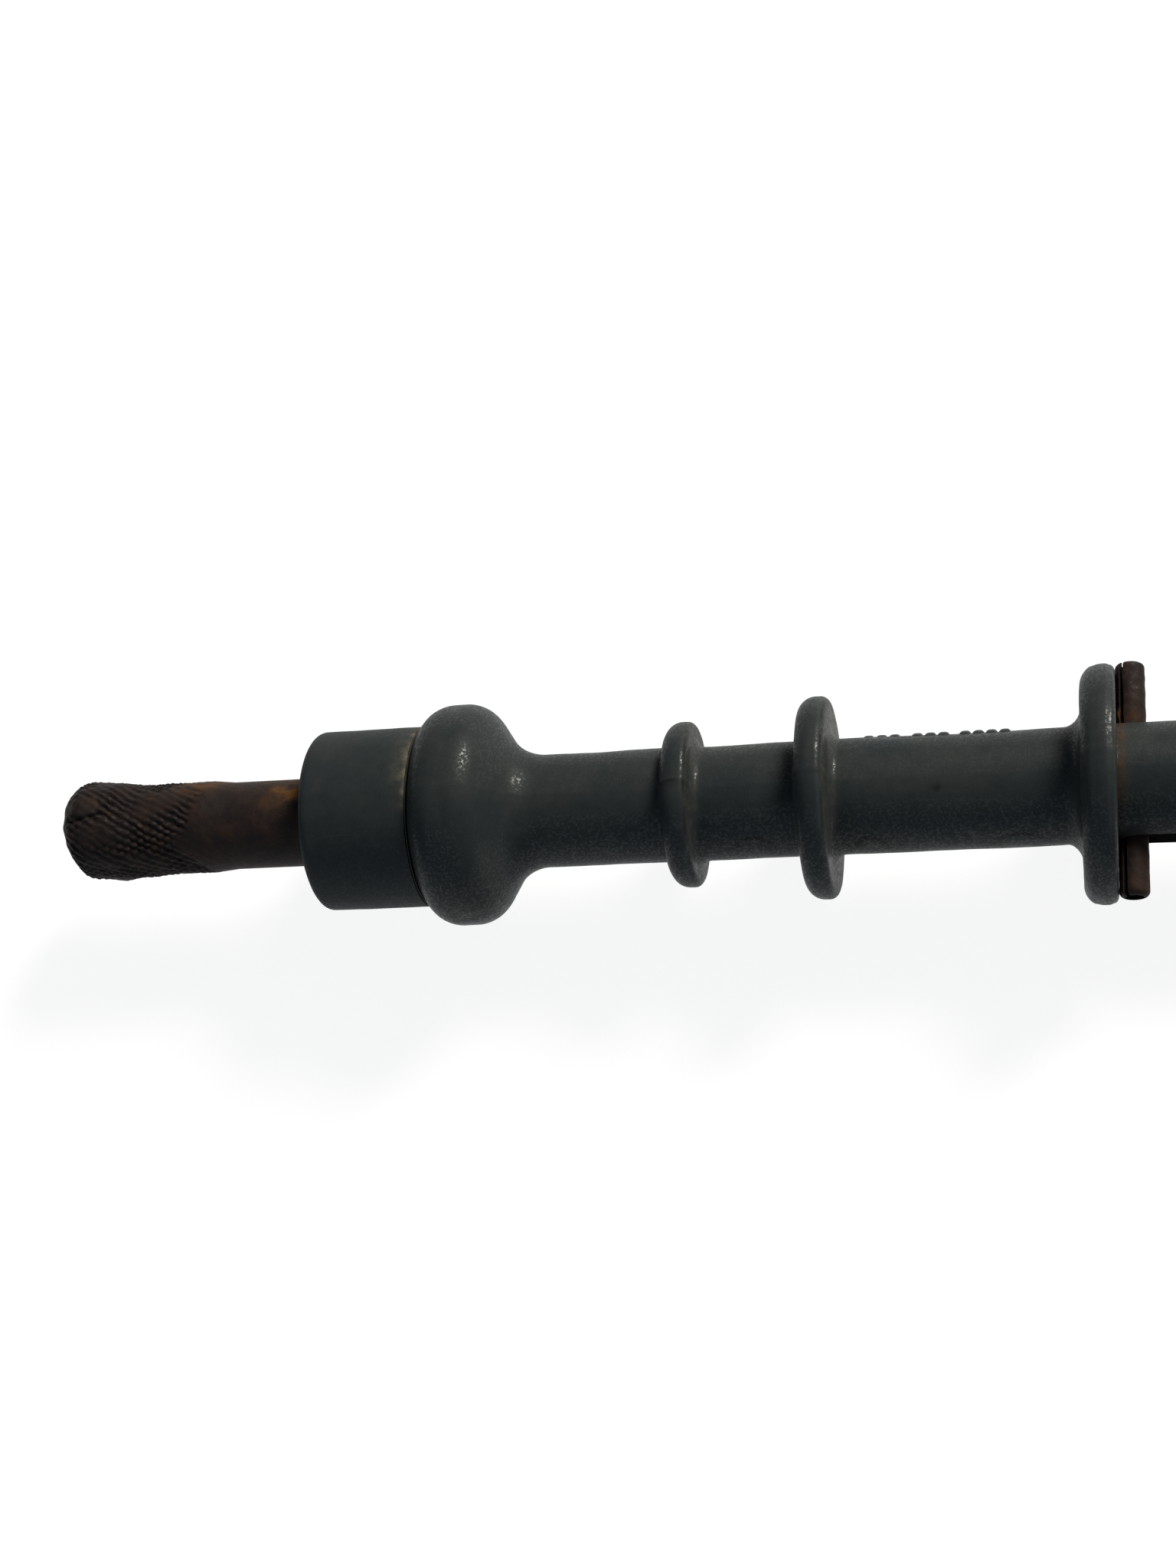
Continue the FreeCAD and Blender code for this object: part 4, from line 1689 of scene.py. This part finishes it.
    def shank_section(self) -> Section:
        """The half section of the drilled end of the shank."""
        start, floor = self.shank_joint, self.shank_end - self.socket_depth
        corners = [
            Corner(start, 0.0),
            Corner(start, self.shank_radius),
            Corner(self.shank_end, self.shank_radius, 0.12),
            Corner(self.shank_end, self.socket_radius),
            Corner(floor, self.socket_radius),
            Corner(floor, 0.0),
        ]
        return Section(corners, step=0.3, arc_steps=4, loop=False)

    def pin_drill(self) -> bpy.types.Mesh:
        """The round bar along Y that drills the pin's hole."""
        turns = [FULL_TURN * k / 40 for k in range(40)]
        ring = [(self.pin_x + self.pin_hole * math.cos(t), self.pin_hole * math.sin(t)) for t in turns]
        return prism("pin_drill", ring, self.shank_radius + 1.0)

    def build(self) -> None:
        """Makes the rod with its head, and the drilled shank."""
        finish = ROD_FINISH.material()
        coats: dict[str, Rule] = {"ridge": self.ridge, "rust": self.rust, "grime_and_shade": self.grime_and_shade}
        lathe = Lathe(self.section(), turns=340, relief=self.relief, coats=coats)
        rod = shown("plunger_rod_knurled", lathe.mesh("plunger_rod_knurled"))
        nudged(rod.data, self.battering(skin_of(rod.data)))
        fitted(rod, finish, Body.PLUNGER, ["plunger_rod"])
        shank = shown("plunger_shank", Lathe(self.shank_section(), turns=64).mesh("plunger_shank"))
        carved(shank, self.pin_drill())
        paint_points(shank.data, "ridge", np.full(len(shank.data.vertices), 0.7))
        fitted(shank, finish, Body.PLUNGER, ["plunger_rod"])


# ---- Cross pin -----------------------------------------------------------------
@dataclass
class CrossPin:
    """The rolled spring pin: a round tube with one gap along it."""

    radius: float = 1.25
    wall: float = 0.4
    gap: float = 0.45
    gap_turn: float = 37.0
    end_round: float = 0.45
    worn_short: float = 0.3
    seated: float = -0.40
    lean: float = 0.026
    lump_at: float = 5.75
    ring_steps: int = 56
    row_steps: int = 110

    def __post_init__(self) -> None:
        """Works out the pin's place from its CAD box."""
        low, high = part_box("cross_pin")
        self.x = (low.x + high.x) / 2 / MM
        self.start, self.end = low.y / MM + self.worn_short, high.y / MM - self.worn_short

    def stations(self) -> list[tuple[float, float]]:
        """Places along Y with how much the ends' rounding takes off there."""
        turns = [math.pi / 2 * k / 6 for k in range(7)]
        length = self.end - self.start
        rounding = [(self.end_round * (1 - math.cos(t)), self.end_round * (1 - math.sin(t))) for t in turns]
        first = [(self.start + depth, cut) for depth, cut in rounding]
        inner, count = length - 2 * self.end_round, self.row_steps
        middle = [(self.start + self.end_round + inner * k / count, 0.0) for k in range(1, count)]
        last = [(self.end - depth, cut) for depth, cut in reversed(rounding)]
        return first + middle + last

    def build(self) -> None:
        """Makes the pin, rough with rust."""
        half_gap = math.asin(self.gap / 2 / self.radius)
        centre = -math.radians(self.gap_turn)
        turns = np.linspace(centre + half_gap, centre + FULL_TURN - half_gap, self.ring_steps)
        stations = self.stations()
        rings: list[np.ndarray] = []
        for y, cut in stations:
            outer_x, outer_z = np.sin(turns), np.cos(turns)
            inner_x, inner_z = outer_x[::-1], outer_z[::-1]
            across_x, across_z = self.x + outer_x * self.radius, outer_z * self.radius
            sample = np.stack((across_x, np.full_like(turns, y), across_z), axis=1)
            rough = Waves(51, 1.1).at(sample) * 0.011 + Waves(52, 0.5).at(sample) * 0.006 - 0.010
            rust_lump = bell(y - self.lump_at, 0.4) * hump(turns % FULL_TURN, 5.35, 0.7) * 0.18
            outer = self.radius - cut + rough + rust_lump
            inner = np.full_like(turns, self.radius - self.wall)
            xs = np.concatenate((self.x + outer_x * outer, self.x + inner_x * inner))
            zs = np.concatenate((outer_z * outer, inner_z * inner))
            rings.append(np.stack((xs, np.full_like(xs, y), zs), axis=1))
        points = np.concatenate(rings)
        size = 2 * self.ring_steps
        faces: list[tuple[int, ...]] = []
        for row in range(len(rings) - 1):
            faces += strip(row * size, (row + 1) * size, size)
        last = (len(rings) - 1) * size
        for k in range(self.ring_steps - 1):
            faces.append((k, k + 1, size - 2 - k, size - 1 - k))
            faces.append((last + size - 1 - k, last + size - 2 - k, last + k + 1, last + k))
        mesh = meshed("cross_pin_rolled", points, faces)
        y = points[:, 1]
        rust = 0.75 * hump(y, 5.6, 1.4) + 0.3 * rise(-y, 4.8, 6.5) * (1 - rise(-y, 8.5, 10.0))
        lump = hump(y, self.lump_at, 0.9) * (points[:, 0] < self.x - 0.6)
        patch = np.clip(0.6 + 0.5 * Waves(53, 1.2).at(points), 0, 1)
        paint_points(mesh, "rust", rust * patch + 1.5 * lump)
        # Painted highlight: the upper end's +Z side is lightened through its ridge value, partly rubbed wear
        # and partly a painted glint.
        worn = hump(points[:, 2], self.radius, 0.9) * rise(y, 5.5, 8.5)
        paint_points(mesh, "ridge", 0.62 + 0.38 * worn)
        # Painted shade: the pin's bore and gap are darkened.
        inside = np.hypot(points[:, 0] - self.x, points[:, 2]) < self.radius - 0.3
        paint_points(mesh, "grime_and_shade", 0.8 * inside)
        still = np.zeros_like(y)
        nudged(mesh, np.stack((self.seated + self.lean * y, still, still), axis=1))
        piece = shown("cross_pin_rolled", mesh)
        fitted(piece, PIN_FINISH.material(), Body.PLUNGER, ["cross_pin"])


# ---- Return spring -------------------------------------------------------------
@dataclass
class ReturnSpring:
    """The compression spring between the cup and its seat."""

    turns: int = 14
    wire: float = 0.5
    stroke: float = 8.0

    def __post_init__(self) -> None:
        """Works out the spring's length and width from its CAD box."""
        low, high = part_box("return_spring")
        self.start, self.end = low.x / MM, high.x / MM
        self.coil = high.y / MM - self.wire / 2
        self.seat = low_x("spring_seat")

    def build(self) -> None:
        """Grows the coil."""

        def plan(graph: Graph, seeds: Wire, sizes: dict[str, Wire]) -> Wire:
            """Sweeps the wire's round section along a spiral and lays it along X.

            Args:
                graph: The tree's graph.
                seeds: The one point, which the coil does not need.
                sizes: The tree's named inputs.

            Returns:
                The coil.
            """
            spiral = graph.node(
                "GeometryNodeCurveSpiral",
                None,
                {
                    "Resolution": 28,
                    "Rotations": sizes["Turns"],
                    "Start Radius": sizes["Coil"],
                    "End Radius": sizes["Coil"],
                    "Height": sizes["Height"],
                },
            )
            round_wire = graph.node(
                "GeometryNodeCurvePrimitiveCircle",
                {"mode": "RADIUS"},
                {"Resolution": 10, "Radius": sizes["Wire"]},
            )
            coil = graph.node(
                "GeometryNodeCurveToMesh",
                None,
                {"Curve": spiral, "Profile Curve": round_wire, "Fill Caps": True},
            )
            lying = graph.node(
                "GeometryNodeTransform",
                None,
                {
                    "Geometry": coil,
                    "Translation": vector(graph, sizes["Start"], 0.0, 0.0),
                    "Rotation": (0.0, math.pi / 2, 0.0),
                },
            )
            return graph.node("GeometryNodeJoinGeometry", None, {0: lying})

        sizes: dict[str, float | int] = {
            "Turns": float(self.turns),
            "Coil": self.coil * MM,
            "Wire": self.wire / 2 * MM,
            "Height": (self.end - self.start - self.wire) * MM,
            "Start": (self.start + self.wire / 2) * MM,
        }
        finish = SPRING_STEEL.material()
        mesh = Growth("return_spring_coil", sizes, plan).mesh(np.zeros((1, 3)), finish)
        soften(mesh)
        piece = shown("return_spring_coil", mesh)
        fitted(piece, finish, Body.GRIP, ["return_spring"])
        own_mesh(piece)


# ---- Cable gland ---------------------------------------------------------------
@dataclass
class CableGland:
    """What holds the cable: ferrule, washer, hexagonal gland and fluted nut."""

    ferrule_radius: float = 5.10
    ferrule_seat: float = 4.65
    washer_radius: float = 4.8
    washer_round: float = 0.12
    shank_radius: float = 3.90
    flats: float = 9.0
    thread_radius: float = 3.9
    socket_radius: float = 2.5
    socket_depth: float = 7.6
    wire_guide: float = 1.0
    nut_radius: float = 5.4
    nut_mouth: float = 3.10
    nut_rib: float = 0.36
    nut_ribs: int = 24
    lip: float = 1.2
    thread_pitch: float = 0.75
    thread_depth: float = 0.28
    hex_length: float = 3.5
    hex_core: float = 4.2
    hex_bore: float = 4.15
    hex_edge: float = 0.28
    hex_chamfer: float = 0.4

    def ferrule(self) -> None:
        """Makes the steel ring on the barrel's end, with a rolled edge and a crimped groove."""
        start, end = low_x("end_ferrule"), high_x("end_ferrule")
        middle = start + 1.6
        corners = [
            Corner(start, self.ferrule_seat),
            Corner(start, self.ferrule_radius, 0.15),
            Corner(middle - 0.35, self.ferrule_radius, 0.2),
            Corner(middle, self.ferrule_radius - 0.16, 0.2),
            Corner(middle + 0.35, self.ferrule_radius, 0.2),
            Corner(end, self.ferrule_radius, 0.15),
            Corner(end, self.ferrule_seat),
        ]
        lathe = Lathe(Section(corners, step=0.3, arc_steps=5), turns=128, relief=self.handled)
        piece = shown("end_ferrule_ring", lathe.mesh("end_ferrule_ring"))
        fitted(piece, PLATED_STEEL.material(), Body.GRIP, ["end_ferrule"])

    def handled(self, skin: Skin) -> np.ndarray:
        """Slight unevenness of a handled metal ring."""
        return Waves(61, 2.5).at(skin.points()) * 0.006 - 0.008

    def washer(self) -> None:
        """Makes the washer under the hexagon."""
        start, end = low_x("lock_washer"), high_x("lock_washer")
        corners = ring_section(start, end, self.shank_radius, self.washer_radius, self.washer_round)
        piece = shown("lock_washer_ring", Lathe(Section(corners, step=0.3, arc_steps=4), 96).mesh("washer"))
        fitted(piece, PLATED_STEEL.material(), Body.GRIP, ["lock_washer"])

    def gland(self) -> None:
        """Makes the gland: a bored shank with a thread, and a hexagon with chamfered corners."""
        inner, end = low_x("gland_body"), high_x("gland_body")
        hex_start = high_x("lock_washer")
        crest, root = self.thread_radius, self.thread_radius - self.thread_depth
        hex_end = hex_start + self.hex_length
        threads = [Corner(hex_end, root)]
        place = hex_end + 0.1
        while place + self.thread_pitch < end - 0.1:
            threads += [Corner(place + 0.3, crest - 0.02), Corner(place + self.thread_pitch - 0.1, root)]
            place += self.thread_pitch
        corners = [
            Corner(inner, self.wire_guide),
            Corner(inner, self.shank_radius, 0.2),
            Corner(hex_start, self.shank_radius),
            Corner(hex_start, self.hex_core),
            Corner(hex_end, self.hex_core),
            *threads,
            Corner(end, root),
            Corner(end, self.socket_radius, 0.1),
            Corner(end - self.socket_depth, self.socket_radius),
            Corner(end - self.socket_depth, self.wire_guide),
        ]
        lathe = Lathe(Section(corners, step=0.5, arc_steps=5), turns=96)
        body = shown("gland_shank", lathe.mesh("gland_shank"))
        finish = AGED_BRASS.material()
        fitted(body, finish, Body.GRIP, ["gland_body"])
        hexagon = shown("gland_hexagon", self.hexagon(hex_start, hex_end))
        edge = hexagon.modifiers.new("edge", "BEVEL")
        edge.width = 0.14 * MM
        edge.segments = 3
        edge.limit_method = "ANGLE"
        settled(hexagon)
        soften(hexagon.data)
        fitted(hexagon, finish, Body.GRIP, ["gland_body"])

    def hexagon(self, start: float, end: float) -> bpy.types.Mesh:
        """A bored hexagon whose corners are chamfered round at both faces.

        Args:
            start: Its first face along X.
            end: Its second face along X.

        Returns:
            The mesh.
        """
        count, inner = 96, self.hex_bore
        turns = np.linspace(0, FULL_TURN, count, endpoint=False)
        sector = FULL_TURN / 6
        local = (turns % sector) - sector / 2
        flat = (self.flats / 2) / np.cos(local)
        chamfer = self.flats / math.sqrt(3) - self.hex_chamfer
        rows = [
            (start, np.full(count, inner)),
            (start, np.minimum(flat, chamfer)),
            (start + self.hex_edge, flat),
            (end - self.hex_edge, flat),
            (end, np.minimum(flat, chamfer)),
            (end, np.full(count, inner)),
        ]
        points = np.concatenate([
            np.stack((np.full(count, x), r * np.cos(turns), r * np.sin(turns)), axis=1) for x, r in rows
        ])
        faces: list[tuple[int, ...]] = []
        for row in range(len(rows)):
            faces += strip(row * count, (row + 1) % len(rows) * count, count)
        return meshed("gland_hexagon", points, faces)

    def nut(self) -> None:
        """Makes the nut: a bored body with a ring of raised ribs."""
        start, end = low_x("gland_nut"), high_x("gland_nut")
        throat = high_x("sheath_collet")
        collet = low_x("sheath_collet")
        body_radius = self.nut_radius - 0.22
        corners = [
            Corner(start, self.thread_radius),
            Corner(start, body_radius - 0.12, 0.3),
            Corner(start + 0.75, body_radius - 0.12, 0.1),
            Corner(start + 0.95, body_radius, 0.1),
            Corner(end - 1.25, body_radius, 0.1),
            Corner(end - 1.05, body_radius - 0.12, 0.1),
            Corner(end, body_radius - 0.12, 0.5),
            Corner(end, self.nut_mouth, 0.25),
            Corner(throat, self.nut_mouth),
            Corner(throat, 3.40),
            Corner(collet, self.thread_radius),
        ]
        lathe = Lathe(Section(corners, step=0.4, arc_steps=6), turns=120, relief=self.handled)
        finish = AGED_BRASS.material()
        piece = shown("gland_nut_body", lathe.mesh("gland_nut_body"))
        fitted(piece, finish, Body.GRIP, ["gland_nut"])
        mesh = self.ribs(start + 1.0, end - 1.3, body_radius, finish)
        soften(mesh)
        fitted(shown("gland_nut_ribs", mesh), finish, Body.GRIP, ["gland_nut"])

    def ribs(self, start: float, end: float, radius: float, finish: bpy.types.Material) -> bpy.types.Mesh:
        """Grows the ring of finger ribs round the nut.

        Args:
            start: Where they start along X.
            end: Where they end along X.
            radius: The radius that they sit at.
            finish: Their material.

        Returns:
            The ribs' mesh.
        """

        def plan(graph: Graph, seeds: Wire, sizes: dict[str, Wire]) -> Wire:
            """Makes one rounded rib and puts a copy at each point.

            Args:
                graph: The tree's graph.
                seeds: The points.
                sizes: The tree's named inputs.

            Returns:
                The ribs.
            """
            line = graph.node(
                "GeometryNodeCurvePrimitiveLine",
                {"mode": "POINTS"},
                {
                    "Start": vector(graph, sizes["Start"], 0.0, 0.0),
                    "End": vector(graph, sizes["End"], 0.0, 0.0),
                },
            )
            divided = graph.node("GeometryNodeResampleCurve", None, {"Curve": line, "Count": 17})
            share = graph.node("GeometryNodeSplineParameter", None, None, output="Factor")
            off = graph.maths(Operation.ABSOLUTE, share * 2.0 - 1.0)
            taper = (1.02 - off**10.0) ** 0.5
            shaped = graph.node("GeometryNodeSetCurveRadius", None, {"Curve": divided, "Radius": taper})
            outline = graph.node(
                "GeometryNodeCurvePrimitiveCircle",
                {"mode": "RADIUS"},
                {"Resolution": 12, "Radius": sizes["Rib"]},
            )
            rib = graph.node(
                "GeometryNodeCurveToMesh", None, {"Curve": shaped, "Profile Curve": outline, "Fill Caps": True}
            )
            return graph.node("GeometryNodeInstanceOnPoints", None, {"Points": seeds, "Instance": rib})

        turns = [FULL_TURN * k / self.nut_ribs for k in range(self.nut_ribs)]
        seat = radius - self.nut_rib * 0.45
        seeds = np.array([(0.0, seat * math.cos(t), seat * math.sin(t)) for t in turns])
        sizes: dict[str, float | int] = {"Start": start * MM, "End": end * MM, "Rib": self.nut_rib * MM}
        return Growth("gland_nut_ribs", sizes, plan).mesh(seeds, finish)

    def build(self) -> None:
        """Makes the pieces of the gland."""
        self.ferrule()
        self.washer()
        self.gland()
        self.nut()


# ---- Inner pieces --------------------------------------------------------------
@dataclass(frozen=True)
class InnerParts:
    """The CAD pieces inside the handle, whose shapes are right as they are."""

    finishes: tuple[tuple[WorkedMetal | SoftFinish, tuple[str, ...]], ...] = (
        (FELT, ("wiper_ring",)),
        (BRASS, ("plunger_bush", "wire_clamp")),
        (NYLON, ("rear_bush", "sheath_collet")),
        (RUBBER, ("buffer_washer", "sheath_seal")),
        (PLAIN_STEEL, ("clamp_screw", "spring_cup", "spring_seat")),
    )

    def build(self) -> None:
        """Gives each of them its finish."""
        for finish, nodes in self.finishes:
            material = finish.material()
            for node in nodes:
                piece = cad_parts[node]
                if not piece.material_slots:
                    piece.data.materials.append(material)
                for slot in piece.material_slots:
                    slot.material = material
                log.info("%s: dressed as %s", node, finish.name)


# ---- Studio --------------------------------------------------------------------
@dataclass(frozen=True)
class Lamp:
    """A soft square light."""

    name: str
    towards: Colour
    distance: float
    width: float
    power: float
    colour: Colour


@dataclass
class Studio:
    """The table, the lights and the camera."""

    floor_size: float = 6.0
    camera_at: Colour = (-51.718, -61.435, 200.944)
    camera_right: Colour = (0.97683, 0.01568, -0.21344)
    camera_up: Colour = (0.04847, 0.95518, 0.29203)
    camera_ahead: Colour = (-0.20845, 0.29561, -0.93229)
    lens: float = 56.877
    sensor: float = 36.0
    aim: Colour = (-0.085, 0.0, 0.0)
    room: Colour = (0.098, 0.118, 0.138)
    lamps: tuple[Lamp, ...] = (
        Lamp("window", (0.47, 0.67, 0.57), 0.9, 0.29, 16.0, (1.0, 0.96, 0.87)),
        Lamp("wide_panel", (0.15, 0.75, 0.65), 1.1, 1.2, 1.6, (1.0, 0.97, 0.90)),
        Lamp("near_panel", (-0.3, -0.85, 0.45), 1.2, 1.6, 6.0, (0.82, 0.93, 1.0)),
    )

    def floor(self) -> None:
        """Lays the pale table under the handle's lowest point."""
        half, height = self.floor_size / 2, cad_box[0].z
        mesh = bpy.data.meshes.new("table")
        corners = [(-half, -half), (half, -half), (half, half), (-half, half)]
        mesh.from_pydata([(x, y, height) for x, y in corners], [], [(0, 1, 2, 3)])
        mesh.materials.append(PaleFloor().material())
        shown("table", mesh)

    def lights(self) -> None:
        """Hangs the soft lights and sets the room's own light."""
        for lamp in self.lamps:
            data = bpy.data.lights.new(lamp.name, "AREA")
            data.shape = "SQUARE"
            data.size = lamp.width
            data.energy = lamp.power
            data.color = lamp.colour
            light = bpy.data.objects.new(lamp.name, data)
            bpy.context.scene.collection.objects.link(light)
            way = Vector(lamp.towards).normalized()
            light.location = Vector(self.aim) + way * lamp.distance
            light.rotation_euler = way.to_track_quat("Z", "Y").to_euler()
        world = bpy.data.worlds.new("room")
        world.use_nodes = True
        bpy.context.scene.world = world
        backdrop = world.node_tree.nodes["Background"]
        backdrop.inputs["Color"].default_value = (*self.room, 1.0)
        backdrop.inputs["Strength"].default_value = 1.0

    def camera(self) -> None:
        """Places the camera."""
        data = bpy.data.cameras.new("camera")
        data.lens = self.lens
        data.sensor_width = self.sensor
        data.clip_start = 0.005
        data.clip_end = 20.0
        camera = bpy.data.objects.new("camera", data)
        bpy.context.scene.collection.objects.link(camera)
        back = [-value for value in self.camera_ahead]
        turn = Matrix((self.camera_right, self.camera_up, back)).transposed().to_4x4()
        camera.matrix_world = Matrix.Translation(Vector(self.camera_at) * MM) @ turn
        bpy.context.scene.camera = camera

    def build(self) -> None:
        """Sets up the whole studio."""
        bpy.context.scene.view_settings.view_transform = "Standard"
        self.floor()
        self.lights()
        self.camera()


def main() -> None:
    """Builds the studio and every sub-assembly in order."""
    logging.basicConfig(level=logging.INFO, format="%(name)s: %(message)s")
    parts = (
        Studio(), Grip(), Collar(), Plunger(), CrossPin(), ReturnSpring(), CableGland(), InnerParts()
    )
    for part in parts:
        part.build()
        log.info("%s is ready", type(part).__name__)


if __name__ == "__main__":
    main()
